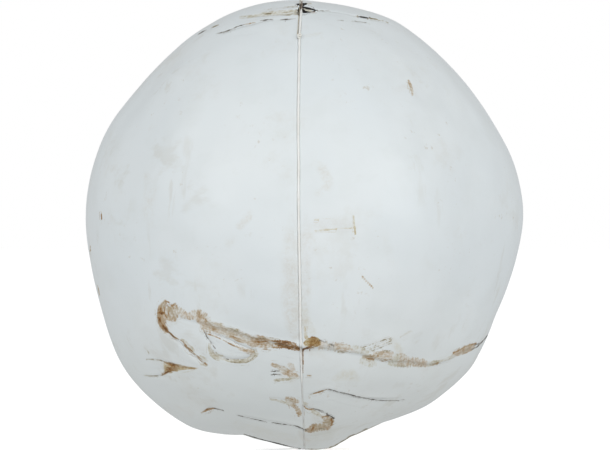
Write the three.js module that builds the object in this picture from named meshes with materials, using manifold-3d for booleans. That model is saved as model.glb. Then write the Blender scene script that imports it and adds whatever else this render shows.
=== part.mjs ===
// Stuffed medicine ball, worn and slack, resting on its own flat patch.
//
// Two moulded cover halves are joined along one great circle by a flanged seam
// with a thin welt in it. Each half is lined. Fibre padding fills the space
// round a bag of ballast. The filling slit, in the seam near the top, is closed
// by hand with a thread that ends in a knot.
//
// Millimetres, +Z up. Origin: the middle of the bounding box's bottom face.
// +X is the right-hand cover half, -Y is the front, where the slit's knot is.
//
// Every piece is first drawn nominally, about a round ball of radius NOMINAL_R
// with its centre at the origin, and is then settled: the round shape becomes
// the slack one, the seam plane drifts a little, the bottom goes flat and the
// heavy core sinks to lie over the flat patch.

import * as THREE from 'three';
import { mergeVertices } from 'three/addons/utils/BufferGeometryUtils.js';
import Module from 'manifold-3d';

// ---------------------------------------------------------------- dimensions
const NOMINAL_R = 170;          // radius of the nominal round ball
const CENTRE_HEIGHT = 172.2;    // ball centre above the floor
const SEMI_X = 170;             // base ellipsoid, left to right
const SEMI_Y = 167;             // front to back
const SEMI_Z = 172;             // up and down
const AROUND = 40;              // facets round the seam circle

const COVER_T = 2.2;            // cover thickness
const EDGE_X = 1.9;             // where the cover's rounded edge leaves the surface
const FLANGE_IN_X = 0.7;        // seam flange, face next to the welt
const FLANGE_OUT_X = 2.7;       // seam flange, far face
const FLANGE_DEPTH = 11;        // how deep the flange reaches
const EDGE_CHAMFER = 1.3;       // depth of the groove beside the welt

const BEAD_R = 0.9;             // welt bead, half of it standing proud
const TONGUE_HALF = 0.4;        // half thickness of the welt's tongue
const TONGUE_DEPTH = 12;

const LINING_TOP = 2.6;         // lining, depths below the surface
const LINING_BOTTOM = 3.4;
const LINING_EDGE_X = 3.1;

const STITCH_R = 0.35;          // seam threads, beside the flanges
const STITCH_X = 3.35;
const STITCH_DEPTH = 6;

const TAPE_IN_X = 3.0;          // tape folded round the flange edges
const TAPE_OUT_X = 3.6;
const TAPE_TOP = 8.0;
const TAPE_FOLD_IN = 12.6;
const TAPE_FOLD_OUT = 13.3;

const PAD_TOP = 4.2;            // padding, depth of its outer face
const PAD_EDGE_X = 4.4;         // it stands clear of the flanges
const PAD_RELIEF = 14.5;        // down to this depth
const PAD_FACE_X = 0.4;         // and then nearly meets its other half
const PAD_INNER_R = 82;         // cavity for the core
const NECK_RECESS_R = 20;       // room in the padding for the bag's tied neck
const NECK_RECESS_TOP = 103;

const BAG_R = 80;               // core bag, outside
const BAG_T = 1.2;
const BAG_NECK_R = 11;
const BAG_MOUTH_R = 17;
const BAG_MOUTH_Z = 98;
const FILL_R = 78.2;            // ballast
const TIE_R = 1.5;              // cord tied round the neck
const CORE_SHIFT = [14, 0, -8]; // the heavy core has sunk, and lies over the flat patch
const SHIFT_FULL_R = 106;       // out to here everything goes with the core
const SHIFT_NONE_R = 152;       // from here out nothing does

const SLIT_FRONT = 126.6;       // filling slit, degrees round the seam (90 = top, 180 = front)
const SLIT_BACK = 86;
const CLOSING_R = 0.22;         // hand-closing thread, in the groove left of the welt
const CLOSING_X = -1.4;
const CLOSING_PROUD = 0.25;
const KNOT_HALF = [1.75, 2.8, 1.3];   // across, along and out of the seam

// Outline of the slack ball in the XZ plane: degrees from +X, radius.
const OUTLINE = [
  [0, 173.5], [5, 174.5], [10, 174.2], [15, 173.6], [20, 172.6], [25, 171.0], [30, 170.1],
  [35, 169.6], [40, 169.6], [45, 169.8], [50, 170.5], [55, 171.7], [60, 172.9], [65, 174.2],
  [70, 174.1], [75, 173.6], [80, 173.5], [85, 173.6], [90, 174.6], [95, 174.8], [100, 174.7],
  [105, 174.0], [110, 172.7], [115, 170.8], [120, 169.1], [125, 167.0], [130, 165.5],
  [135, 164.5], [140, 164.0], [145, 164.4], [150, 165.5], [155, 166.2], [160, 166.3],
  [165, 166.5], [170, 166.3], [175, 166.1], [180, 165.8], [185, 165.4], [190, 165.2],
  [195, 165.8], [200, 167.0], [205, 168.9], [210, 172.0], [215, 175.4], [220, 177.9],
  [225, 179.2], [230, 179.9], [235, 180.3], [240.3, 180.2], [242.7, 179.2], [245, 177.7],
  [247.1, 175.9], [249.4, 174.0], [251.6, 172.0], [253.8, 169.9], [254.8, 169.9], [257, 170.5],
  [260.2, 170.7], [263.4, 171.9], [265.6, 172.8], [267.5, 173.6], [269.4, 176.0],
  [271.5, 176.8], [273.5, 176.7], [275.5, 175.4], [277.35, 174.2], [278.3, 173.2],
  [279.2, 171.9], [280.7, 170.3], [282.5, 168.4], [284.2, 167.7], [286.9, 166.5],
  [290.4, 165.5], [292, 165.3], [294.7, 166.2], [298, 167.4], [300.6, 168.6], [305, 170.2],
  [310, 170.8], [315, 171.6], [320, 171.9], [325, 170.1], [330, 168.4], [335, 166.9],
  [340, 167.2], [345, 168.2], [350, 169.7], [355, 171.4],
];

// Sideways drift of the seam plane: height from the centre, drift.
const DRIFT = [
  [-176, 4.2], [-173, 4.1], [-154, 3.6], [-135, 2.9], [-120, 2.2], [-107, 1.8], [-90, 1.4],
  [-75, 1.0], [-55, 0.9], [-42, 0.6], [-29, 0.4], [-16, 0.2], [0, -0.1], [20, -0.3],
  [45, -0.2], [62, -0.5], [85, -0.5], [100, -0.3], [112, -0.1], [126, 0.1], [140, 0.2],
  [149, 0.7], [158, 1.2], [166, 1.8], [175, 2.0],
];

// Soft dents and swells: direction, height, width.
const SWELLS = [
  [[0.709, -0.618, -0.347], -3, 0.25],
  [[-0.45, 0.8, 0.35], -5, 0.38],
  [[0.55, 0.75, -0.3], -6, 0.33],
  [[0.1, 0.9, 0.5], 2.5, 0.3],
  [[-0.3, 0.75, -0.6], -5, 0.25],
  [[-0.9, 0.4, -0.1], -4, 0.3],
  [[0.88, 0.45, 0.15], -4, 0.3],
];

// ------------------------------------------------------------ the slack shape
const RAD = Math.PI / 180;

// Smooth curve through points on a closed 360 degree scale.
function closedCurve(points, degrees) {
  const n = points.length;
  const a = ((degrees % 360) + 360) % 360;
  let i = n - 1;
  while (i > 0 && points[i][0] > a) i -= 1;
  const at = (k) => {
    const turn = Math.floor(k / n);
    const p = points[k - turn * n];
    return [p[0] + 360 * turn, p[1]];
  };
  const [p0, p1, p2, p3] = [at(i - 1), at(i), at(i + 1), at(i + 2)];
  const span = p2[0] - p1[0];
  const t = (a - p1[0]) / span;
  const slope1 = span * (p2[1] - p0[1]) / (p2[0] - p0[0]);
  const slope2 = span * (p3[1] - p1[1]) / (p3[0] - p1[0]);
  const t2 = t * t;
  const t3 = t2 * t;
  return (2 * t3 - 3 * t2 + 1) * p1[1] + (t3 - 2 * t2 + t) * slope1
    + (3 * t2 - 2 * t3) * p2[1] + (t3 - t2) * slope2;
}

// The outline's broad part, smoothed over 12 degrees; the rest is its sharp part.
const BROAD = [];
for (let a = 0; a < 360; a += 5) {
  let sum = 0;
  let weight = 0;
  for (let k = -36; k <= 36; k += 2) {
    const w = Math.exp(-0.5 * (k / 12) ** 2);
    sum += w * closedCurve(OUTLINE, a + k);
    weight += w;
  }
  BROAD.push([a, sum / weight]);
}

function slackRadius(dx, dy, dz) {
  const rim = Math.sqrt(dx * dx + dz * dz);
  const base = 1 / Math.sqrt((dx / SEMI_X) ** 2 + (dy / SEMI_Y) ** 2 + (dz / SEMI_Z) ** 2);
  let radius = base;
  if (rim > 1e-6) {
    const angle = Math.atan2(dz, dx) / RAD;
    const rimBase = rim / Math.sqrt((dx / SEMI_X) ** 2 + (dz / SEMI_Z) ** 2);
    const broad = closedCurve(BROAD, angle);
    const sharp = closedCurve(OUTLINE, angle);
    radius += (broad - rimBase) * rim ** 2.5 + (sharp - broad) * rim ** 10;
  }
  const inner = 1 - rim ** 8;
  for (const [[sx, sy, sz], height, width] of SWELLS) {
    const far = (dx - sx) ** 2 + (dy - sy) ** 2 + (dz - sz) ** 2;
    radius += height * Math.exp(-far / (width * width)) * inner;
  }
  return radius;
}

function drift(z) {
  if (z <= DRIFT[0][0]) return DRIFT[0][1];
  for (let i = 1; i < DRIFT.length; i += 1) {
    const [z0, d0] = DRIFT[i - 1];
    const [z1, d1] = DRIFT[i];
    if (z <= z1) return d0 + (d1 - d0) * (z - z0) / (z1 - z0);
  }
  return DRIFT[DRIFT.length - 1][1];
}

// Depth below the surface where the floor presses a layer flat.
function pressed(depth) {
  if (depth <= -BEAD_R) return 0;
  if (depth <= 0) return 0.3 * (depth + BEAD_R) / BEAD_R;
  if (depth <= EDGE_CHAMFER) return 0.3 + (EDGE_CHAMFER - 0.3) * depth / EDGE_CHAMFER;
  return depth;
}

function settle(geometry, isSeamTrim = false) {
  const p = geometry.getAttribute('position');
  for (let i = 0; i < p.count; i += 1) {
    const x = p.getX(i);
    const y = p.getY(i);
    const z = p.getZ(i);
    const r = Math.sqrt(x * x + y * y + z * z);
    const depth = NOMINAL_R - r;
    let k = Math.min(Math.max((r - 85) / 65, 0), 1);
    k = k * k * (3 - 2 * k);
    const grow = k > 0 ? 1 + (slackRadius(x / r, y / r, z / r) - NOMINAL_R) * k / r : 1;
    let out = Math.min(Math.max((r - SHIFT_FULL_R) / (SHIFT_NONE_R - SHIFT_FULL_R), 0), 1);
    out = 1 - out * out * (3 - 2 * out);
    const qz = z * grow;
    const floor = isSeamTrim ? pressed(depth) : Math.max(depth, 0);
    p.setXYZ(
      i,
      x * grow + drift(qz) + out * CORE_SHIFT[0],
      y * grow + out * CORE_SHIFT[1],
      Math.max(qz, floor - CENTRE_HEIGHT) + out * CORE_SHIFT[2],
    );
  }
  p.needsUpdate = true;
  return geometry;
}

// ------------------------------------------------------------- solid handling
// Merge shared vertices, drop empty triangles and turn the faces outwards.
function solid(source) {
  let g = source.clone();
  for (const name of Object.keys(g.attributes)) {
    if (name !== 'position') g.deleteAttribute(name);
  }
  g = mergeVertices(g, 1e-4);
  const p = g.getAttribute('position');
  const index = g.getIndex().array;
  const kept = [];
  let volume = 0;
  for (let i = 0; i < index.length; i += 3) {
    const [a, b, c] = [index[i], index[i + 1], index[i + 2]];
    if (a === b || b === c || c === a) continue;
    kept.push(a, b, c);
    volume += p.getX(a) * (p.getY(b) * p.getZ(c) - p.getZ(b) * p.getY(c))
      - p.getY(a) * (p.getX(b) * p.getZ(c) - p.getZ(b) * p.getX(c))
      + p.getZ(a) * (p.getX(b) * p.getY(c) - p.getY(b) * p.getX(c));
  }
  if (volume < 0) {
    for (let i = 0; i < kept.length; i += 3) {
      [kept[i + 1], kept[i + 2]] = [kept[i + 2], kept[i + 1]];
    }
  }
  g.setIndex(kept);
  return g;
}

const wasm = await Module();
wasm.setup();

function cut(body, tool) {
  const toManifold = (source) => {
    const g = solid(source);
    return new wasm.Manifold(new wasm.Mesh({
      numProp: 3,
      vertProperties: new Float32Array(g.getAttribute('position').array),
      triVerts: new Uint32Array(g.getIndex().array),
    }));
  };
  const mesh = toManifold(body).subtract(toManifold(tool)).getMesh();
  const g = new THREE.BufferGeometry();
  g.setAttribute('position', new THREE.BufferAttribute(new Float32Array(mesh.vertProperties), 3));
  g.setIndex(Array.from(mesh.triVerts));
  return g;
}

// A profile of [distance across, depth] or [distance across, radius] points,
// turned about the X axis, the axis of the seam circle.
function turned(points, steps = AROUND) {
  const g = new THREE.LatheGeometry(points.map(([x, radius]) => new THREE.Vector2(radius, x)), steps);
  g.applyMatrix4(new THREE.Matrix4().makeBasis(
    new THREE.Vector3(0, 0, 1), new THREE.Vector3(1, 0, 0), new THREE.Vector3(0, 1, 0)));
  return g;
}

// Point on the profile, x across and depth below the round surface.
const below = (x, depth) => [x, Math.sqrt((NOMINAL_R - depth) ** 2 - x * x)];

// Angles from the seam plane at which the shells have their rings.
const RINGS = [90, 78, 66, 54, 43, 33, 26, 20, 15.2, 9.2, 7.35, 2.3];

const ring = (side, angle, radius) => (angle === 90
  ? [side * radius, 0]
  : [side * radius * Math.sin(angle * RAD), radius * Math.cos(angle * RAD)]);

class SeamArc extends THREE.Curve {
  constructor(x, radius, from, to) {
    super();
    Object.assign(this, { x, radius, from, to });
  }

  getPoint(t, target = new THREE.Vector3()) {
    const a = (this.from + (this.to - this.from) * t) * RAD;
    return target.set(this.x, this.radius * Math.cos(a), this.radius * Math.sin(a));
  }
}

function threadAlong(x, radius, from, to, thickness, steps) {
  const section = new THREE.Shape();
  section.absarc(0, 0, thickness, 0, 2 * Math.PI, false);
  return new THREE.ExtrudeGeometry(section, {
    steps, curveSegments: 3, bevelEnabled: false, extrudePath: new SeamArc(x, radius, from, to),
  });
}

// -------------------------------------------------------------------- pieces
function coverHalf(side) {
  const inner = NOMINAL_R - COVER_T;
  return turned([
    ...RINGS.map((a) => ring(side, a, NOMINAL_R)),
    below(side * EDGE_X, 0),
    below(side * FLANGE_IN_X, EDGE_CHAMFER),
    below(side * FLANGE_IN_X, FLANGE_DEPTH),
    below(side * FLANGE_OUT_X, FLANGE_DEPTH),
    below(side * FLANGE_OUT_X, COVER_T),
    ...RINGS.slice().reverse().map((a) => ring(side, a, inner)),
  ]);
}

function liningHalf(side) {
  // Drawn from the inside out, so its facets are split the same way as its neighbours'.
  return turned([
    ...RINGS.map((a) => ring(side, a, NOMINAL_R - LINING_BOTTOM)),
    below(side * LINING_EDGE_X, LINING_BOTTOM),
    below(side * LINING_EDGE_X, LINING_TOP),
    ...RINGS.slice().reverse().map((a) => ring(side, a, NOMINAL_R - LINING_TOP)),
  ]);
}

function paddingHalf(side) {
  const body = turned([
    ...RINGS.map((a) => ring(side, a, NOMINAL_R - PAD_TOP)),
    below(side * PAD_EDGE_X, PAD_TOP),
    below(side * PAD_EDGE_X, PAD_RELIEF),
    below(side * PAD_FACE_X, PAD_RELIEF),
    [side * PAD_FACE_X, 130],
    [side * PAD_FACE_X, SHIFT_FULL_R],
    [side * PAD_FACE_X, PAD_INNER_R],
    ...[15, 32, 50, 70, 90].map((a) => ring(side, a, PAD_INNER_R)),
  ]);
  const recess = new THREE.CylinderGeometry(NECK_RECESS_R, NECK_RECESS_R, NECK_RECESS_TOP - 60, 24);
  recess.rotateX(Math.PI / 2);
  recess.translate(0, 0, (NECK_RECESS_TOP + 60) / 2);
  return cut(body, recess);
}

function weltRing(bead = BEAD_R, tongue = TONGUE_HALF, top = 0) {
  const at = (degrees) => [bead * Math.sin(degrees * RAD), NOMINAL_R + top + bead * Math.cos(degrees * RAD)];
  const profile = [
    [tongue, NOMINAL_R - TONGUE_DEPTH],
    [tongue, NOMINAL_R - bead * 0.9],
    at(90), at(45), at(0), at(-45), at(-90),
    [-tongue, NOMINAL_R - bead * 0.9],
    [-tongue, NOMINAL_R - TONGUE_DEPTH],
  ];
  return turned([...profile, profile[0]]);
}

function seamTape() {
  const profile = [
    below(TAPE_IN_X, TAPE_TOP), below(TAPE_OUT_X, TAPE_TOP),
    below(TAPE_OUT_X, TAPE_FOLD_OUT), below(-TAPE_OUT_X, TAPE_FOLD_OUT),
    below(-TAPE_OUT_X, TAPE_TOP), below(-TAPE_IN_X, TAPE_TOP),
    below(-TAPE_IN_X, TAPE_FOLD_IN), below(TAPE_IN_X, TAPE_FOLD_IN),
  ];
  return turned([...profile, profile[0]]);
}

function closingKnot() {
  const g = new THREE.SphereGeometry(1, 14, 10);
  g.scale(KNOT_HALF[0], KNOT_HALF[1], KNOT_HALF[2]);
  g.translate(0, 0, NOMINAL_R + 1.3);
  g.rotateX((SLIT_FRONT - 90) * RAD);
  return cut(g, weltRing(BEAD_R + 0.3, TONGUE_HALF + 0.3));
}

const CORE_RINGS = Array.from({ length: 11 }, (_, i) => 16.6 * i);
const coreRing = (radius, angle) => new THREE.Vector2(
  angle === 0 ? 0 : radius * Math.sin(angle * RAD), -radius * Math.cos(angle * RAD));

function coreBag() {
  const points = [
    ...CORE_RINGS.map((a) => coreRing(BAG_R, a)),
    new THREE.Vector2(BAG_NECK_R + 2, BAG_R + 1.5),
    new THREE.Vector2(BAG_NECK_R, BAG_R + 5),
    new THREE.Vector2(BAG_NECK_R, BAG_R + 9),
    new THREE.Vector2(BAG_MOUTH_R, BAG_MOUTH_Z),
    new THREE.Vector2(BAG_MOUTH_R - BAG_T, BAG_MOUTH_Z),
    new THREE.Vector2(BAG_NECK_R - BAG_T, BAG_R + 9),
    new THREE.Vector2(BAG_NECK_R - BAG_T, BAG_R + 5),
    new THREE.Vector2(BAG_NECK_R + 0.6, BAG_R + 0.6),
    ...CORE_RINGS.slice().reverse().map((a) => coreRing(BAG_R - BAG_T, a)),
  ];
  return new THREE.LatheGeometry(points, 24).rotateX(Math.PI / 2);
}

function coreFill() {
  const points = [
    ...CORE_RINGS.map((a) => coreRing(FILL_R, a)),
    new THREE.Vector2(0, FILL_R - 1),
  ];
  return new THREE.LatheGeometry(points, 24).rotateX(Math.PI / 2);
}

function coreTie() {
  const g = new THREE.TorusGeometry(BAG_NECK_R + 0.3 + TIE_R, TIE_R, 8, 24);
  g.translate(0, 0, BAG_R + 7);
  return g;
}

// ----------------------------------------------------------------- materials
const material = (color, roughness) => new THREE.MeshStandardMaterial({ color, roughness, metalness: 0 });
const WHITE = material(0xdfe6e8, 0.42);
const CREAM = material(0xe2dcc8, 0.55);
const THREAD = material(0xc9b994, 0.7);
const TAPE = material(0xb9b6a8, 0.85);
const LINING = material(0x8f8a78, 0.9);
const PADDING = material(0x7d776b, 0.98);
const CANVAS = material(0xa69a7c, 0.92);
const BALLAST = material(0x8a6f4d, 0.9);
const CORD = material(0x6f6147, 0.85);

// ------------------------------------------------------------------ assembly
const group = new THREE.Group();
const ball = new THREE.Group();
const covering = new THREE.Group();
const stuffing = new THREE.Group();
const core = new THREE.Group();
ball.add(covering, stuffing, core);
group.add(ball);

function place(parent, name, geometry, look, isSeamTrim = false) {
  const mesh = new THREE.Mesh(solid(settle(solid(geometry), isSeamTrim)), look);
  mesh.name = name;
  parent.add(mesh);
}

place(covering, 'cover_left', coverHalf(-1), WHITE);
place(covering, 'cover_right', coverHalf(1), WHITE.clone());
place(covering, 'seam_welt', weltRing(), CREAM, true);
place(covering, 'lining_left', liningHalf(-1), LINING);
place(covering, 'lining_right', liningHalf(1), LINING.clone());
place(covering, 'needle_thread',
  threadAlong(-STITCH_X, NOMINAL_R - STITCH_DEPTH, SLIT_FRONT + 1.2, 360 + SLIT_BACK - 1, STITCH_R, 38), THREAD);
place(covering, 'bobbin_thread',
  threadAlong(STITCH_X, NOMINAL_R - STITCH_DEPTH, SLIT_FRONT + 1.2, 360 + SLIT_BACK - 1, STITCH_R, 38), THREAD.clone());
place(covering, 'seam_tape', seamTape(), TAPE);
place(covering, 'closing_thread',
  threadAlong(CLOSING_X, NOMINAL_R + CLOSING_PROUD, SLIT_BACK + 1, SLIT_FRONT - 1.1, CLOSING_R, 12), THREAD.clone(), true);
place(covering, 'closing_knot', closingKnot(), THREAD.clone(), true);

place(stuffing, 'padding_left', paddingHalf(-1), PADDING);
place(stuffing, 'padding_right', paddingHalf(1), PADDING.clone());

place(core, 'core_bag', coreBag(), CANVAS);
place(core, 'core_fill', coreFill(), BALLAST);
place(core, 'core_tie', coreTie(), CORD);

// The origin is the middle of the bounding box's bottom face.
group.updateMatrixWorld(true);
const box = new THREE.Box3().setFromObject(group, true);
ball.position.set(-(box.min.x + box.max.x) / 2, -(box.min.y + box.max.y) / 2, -box.min.z);
group.updateMatrixWorld(true);

export default group;
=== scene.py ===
"""Medicine ball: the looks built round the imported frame. Blender 4.5."""
import math

import bpy
import numpy as np
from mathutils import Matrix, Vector


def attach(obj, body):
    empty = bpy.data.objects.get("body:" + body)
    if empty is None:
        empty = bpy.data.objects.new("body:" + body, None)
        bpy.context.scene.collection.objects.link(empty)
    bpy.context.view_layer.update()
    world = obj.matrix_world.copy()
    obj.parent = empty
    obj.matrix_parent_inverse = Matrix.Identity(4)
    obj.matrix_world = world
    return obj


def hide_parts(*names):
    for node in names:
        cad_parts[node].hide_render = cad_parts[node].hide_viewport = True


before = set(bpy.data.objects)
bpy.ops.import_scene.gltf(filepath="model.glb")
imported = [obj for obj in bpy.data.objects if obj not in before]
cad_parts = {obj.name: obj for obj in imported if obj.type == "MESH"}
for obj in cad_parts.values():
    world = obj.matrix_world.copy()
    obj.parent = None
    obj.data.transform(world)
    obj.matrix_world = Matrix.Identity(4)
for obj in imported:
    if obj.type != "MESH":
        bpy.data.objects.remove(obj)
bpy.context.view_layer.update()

# --------------------------------------------------------------- dimensions, mm
# The same slack shape as the CAD: outline, drift of the seam plane, dents.
CENTRE = np.array([-3.75, 0.184, 172.2])     # ball centre in the row frame
NOMINAL_R = 170.0
CENTRE_HEIGHT = 172.2
SEMI = np.array([170.0, 167.0, 172.0])
COVER_T = 2.2
EDGE_X = 1.9
LIP_X = 0.92                                  # where the soft edge really meets the welt
FLANGE_IN_X, FLANGE_OUT_X, FLANGE_DEPTH = 0.7, 2.7, 11.0
EDGE_CHAMFER = 1.3
BEAD_R, TONGUE_HALF, TONGUE_DEPTH = 0.9, 0.4, 12.0
LINING_TOP, LINING_BOTTOM, LINING_EDGE_X = 2.6, 3.4, 3.1
STITCH_R, STITCH_X, STITCH_DEPTH = 0.35, 3.35, 6.0
TAPE_IN_X, TAPE_OUT_X, TAPE_TOP, TAPE_FOLD_IN, TAPE_FOLD_OUT = 3.0, 3.6, 8.0, 12.6, 13.3
PAD_TOP, PAD_EDGE_X, PAD_RELIEF, PAD_FACE_X, PAD_INNER_R = 4.2, 4.4, 14.5, 0.4, 82.0
NECK_RECESS_R, NECK_RECESS_TOP = 20.0, 103.0
BAG_R, BAG_T, BAG_NECK_R, BAG_MOUTH_R, BAG_MOUTH_Z = 80.0, 1.2, 11.0, 17.0, 98.0
FILL_R, TIE_R = 78.2, 1.5
CORE_SHIFT, SHIFT_FULL_R, SHIFT_NONE_R = np.array([14.0, 0.0, -8.0]), 106.0, 152.0
SLIT_FRONT, SLIT_BACK = 126.6, 86.0
CLOSING_R, CLOSING_X, CLOSING_PROUD = 0.22, -1.4, 0.25

OUTLINE = np.array([
    [0, 173.5], [5, 174.5], [10, 174.2], [15, 173.6], [20, 172.6], [25, 171.0], [30, 170.1],
    [35, 169.6], [40, 169.6], [45, 169.8], [50, 170.5], [55, 171.7], [60, 172.9], [65, 174.2],
    [70, 174.1], [75, 173.6], [80, 173.5], [85, 173.6], [90, 174.6], [95, 174.8], [100, 174.7],
    [105, 174.0], [110, 172.7], [115, 170.8], [120, 169.1], [125, 167.0], [130, 165.5],
    [135, 164.5], [140, 164.0], [145, 164.4], [150, 165.5], [155, 166.2], [160, 166.3],
    [165, 166.5], [170, 166.3], [175, 166.1], [180, 165.8], [185, 165.4], [190, 165.2],
    [195, 165.8], [200, 167.0], [205, 168.9], [210, 172.0], [215, 175.4], [220, 177.9],
    [225, 179.2], [230, 179.9], [235, 180.3], [240.3, 180.2], [242.7, 179.2], [245, 177.7],
    [247.1, 175.9], [249.4, 174.0], [251.6, 172.0], [253.8, 169.9], [254.8, 169.9],
    [257, 170.5], [260.2, 170.7], [263.4, 171.9], [265.6, 172.8], [267.5, 173.6],
    [269.4, 176.0], [271.5, 176.8], [273.5, 176.7], [275.5, 175.4], [277.35, 174.2],
    [278.3, 173.2], [279.2, 171.9], [280.7, 170.3], [282.5, 168.4], [284.2, 167.7],
    [286.9, 166.5], [290.4, 165.5], [292, 165.3], [294.7, 166.2], [298, 167.4], [300.6, 168.6],
    [305, 170.2], [310, 170.8], [315, 171.6], [320, 171.9], [325, 170.1], [330, 168.4],
    [335, 166.9], [340, 167.2], [345, 168.2], [350, 169.7], [355, 171.4]], float)

DRIFT = np.array([
    [-176, 4.2], [-173, 4.1], [-154, 3.6], [-135, 2.9], [-120, 2.2], [-107, 1.8], [-90, 1.4],
    [-75, 1.0], [-55, 0.9], [-42, 0.6], [-29, 0.4], [-16, 0.2], [0, -0.1], [20, -0.3],
    [45, -0.2], [62, -0.5], [85, -0.5], [100, -0.3], [112, -0.1], [126, 0.1], [140, 0.2],
    [149, 0.7], [158, 1.2], [166, 1.8], [175, 2.0]], float)

SWELLS = [
    ((0.709, -0.618, -0.347), -3, 0.25),
    ((-0.45, 0.8, 0.35), -5, 0.38),
    ((0.55, 0.75, -0.3), -6, 0.33),
    ((0.1, 0.9, 0.5), 2.5, 0.3),
    ((-0.3, 0.75, -0.6), -5, 0.25),
    ((-0.9, 0.4, -0.1), -4, 0.3),
    ((0.88, 0.45, 0.15), -4, 0.3),
]

# Camera: level, in front of the ball. The picture's millimetres per unit of its
# 610 x 450 frame, on the plane through the ball's centre.
EYE_D = 1800.0
UNIT = 0.78
SEAM_U, CENTRE_V = 299.5, 224.75


# -------------------------------------------------------------- the slack shape
def closed_curve(table, degrees):
    a = np.mod(degrees, 360.0)
    ang = np.concatenate([table[-2:, 0] - 360, table[:, 0], table[:3, 0] + 360])
    val = np.concatenate([table[-2:, 1], table[:, 1], table[:3, 1]])
    i = np.searchsorted(table[:, 0], a, side="right") - 1 + 2
    i = np.clip(i, 1, len(ang) - 3)
    span = ang[i + 1] - ang[i]
    t = (a - ang[i]) / span
    s1 = span * (val[i + 1] - val[i - 1]) / (ang[i + 1] - ang[i - 1])
    s2 = span * (val[i + 2] - val[i]) / (ang[i + 2] - ang[i])
    t2, t3 = t * t, t * t * t
    return (2 * t3 - 3 * t2 + 1) * val[i] + (t3 - 2 * t2 + t) * s1 + (3 * t2 - 2 * t3) * val[i + 1] + (t3 - t2) * s2


_k = np.arange(-36, 37, 2.0)
_w = np.exp(-0.5 * (_k / 12) ** 2)
_a = np.arange(0, 360, 5.0)
BROAD = np.stack([_a, [(closed_curve(OUTLINE, a + _k) * _w).sum() / _w.sum() for a in _a]], axis=1)


def slack_radius(d):
    rim = np.sqrt(d[:, 0] ** 2 + d[:, 2] ** 2)
    base = 1 / np.sqrt(((d / SEMI) ** 2).sum(1))
    angle = np.degrees(np.arctan2(d[:, 2], d[:, 0]))
    rim_base = rim / np.maximum(np.sqrt((d[:, 0] / SEMI[0]) ** 2 + (d[:, 2] / SEMI[2]) ** 2), 1e-9)
    broad = closed_curve(BROAD, angle)
    sharp = closed_curve(OUTLINE, angle)
    rim_base = np.where(rim > 1e-6, rim_base, broad)
    r = base + (broad - rim_base) * rim ** 2.5 + (sharp - broad) * rim ** 10
    inner = 1 - rim ** 8
    for s, height, width in SWELLS:
        far = ((d - np.array(s)) ** 2).sum(1)
        r = r + height * np.exp(-far / width ** 2) * inner
    return r


def drift(z):
    return np.interp(z, DRIFT[:, 0], DRIFT[:, 1])


def smooth01(t):
    t = np.clip(t, 0, 1)
    return t * t * (3 - 2 * t)


# --------------------------------------------------- from the picture to the ball
def on_ball(uv):
    """Directions from the ball's centre of the points of its front seen at uv."""
    uv = np.asarray(uv, float)
    eye = np.array([(305 - SEAM_U) * UNIT, -EYE_D, (CENTRE_V - 225) * UNIT])
    target = np.stack([(uv[:, 0] - SEAM_U) * UNIT, np.zeros(len(uv)), (CENTRE_V - uv[:, 1]) * UNIT], 1)
    ray = target - eye
    ray /= np.linalg.norm(ray, axis=1)[:, None]
    # far out at the edge, a point is drawn in until its ray meets the ball
    for _ in range(12):
        steps = np.linspace(EYE_D - 190, EYE_D + 40, 240)

        def outside(t):
            p = eye + ray * t[:, None]
            q = p.copy()
            q[:, 0] -= drift(p[:, 2])
            r = np.linalg.norm(q, axis=1)
            return r - slack_radius(q / r[:, None]), q / r[:, None]

        value = np.stack([outside(np.full(len(uv), t))[0] for t in steps], 1)
        inside = value < 0
        miss = ~inside.any(1)
        if not miss.any():
            break
        target[miss, 0] *= 0.996
        target[miss, 2] *= 0.996
        ray = target - eye
        ray /= np.linalg.norm(ray, axis=1)[:, None]
    k = np.argmax(inside, 1)
    hi, lo = steps[k], steps[np.maximum(k - 1, 0)]
    for _ in range(24):
        mid = (lo + hi) / 2
        v, _d = outside(mid)
        hi, lo = np.where(v < 0, mid, hi), np.where(v < 0, lo, mid)
    return outside(hi)[1]


def along(points, step=1.4):
    """A smooth run of closely spaced rows through rows of (u, v, ...)."""
    p = np.asarray(points, float)
    ext = np.concatenate([[2 * p[0] - p[1]], p, [2 * p[-1] - p[-2]]])
    rows = []
    for i in range(1, len(ext) - 2):
        a, b, c, d = ext[i - 1:i + 3]
        n = max(1, int(np.linalg.norm((c - b)[:2]) / step))
        for t in np.arange(n) / n:
            row = 0.5 * (2 * b + (c - a) * t + (2 * a - 5 * b + 4 * c - d) * t ** 2 + (3 * b - a - 3 * c + d) * t ** 3)
            row[2:] = b[2:] + (c[2:] - b[2:]) * t
            rows.append(row)
    rows.append(ext[-2])
    return np.array(rows)


SLANT = 0.32        # a mark near the edge of the view runs on at most about three times its drawn width


MARK_SLANT = 0.12   # marks follow the folded surface, so depth counts for less with them


def front_space(q, slant=SLANT):
    """Points about the centre, as laid out in the front view: mm at the centre's distance."""
    s = EYE_D / (EYE_D + q[:, 1])
    return np.stack([q[:, 0] * s, q[:, 1] * slant, q[:, 2] * s], 1)


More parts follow.
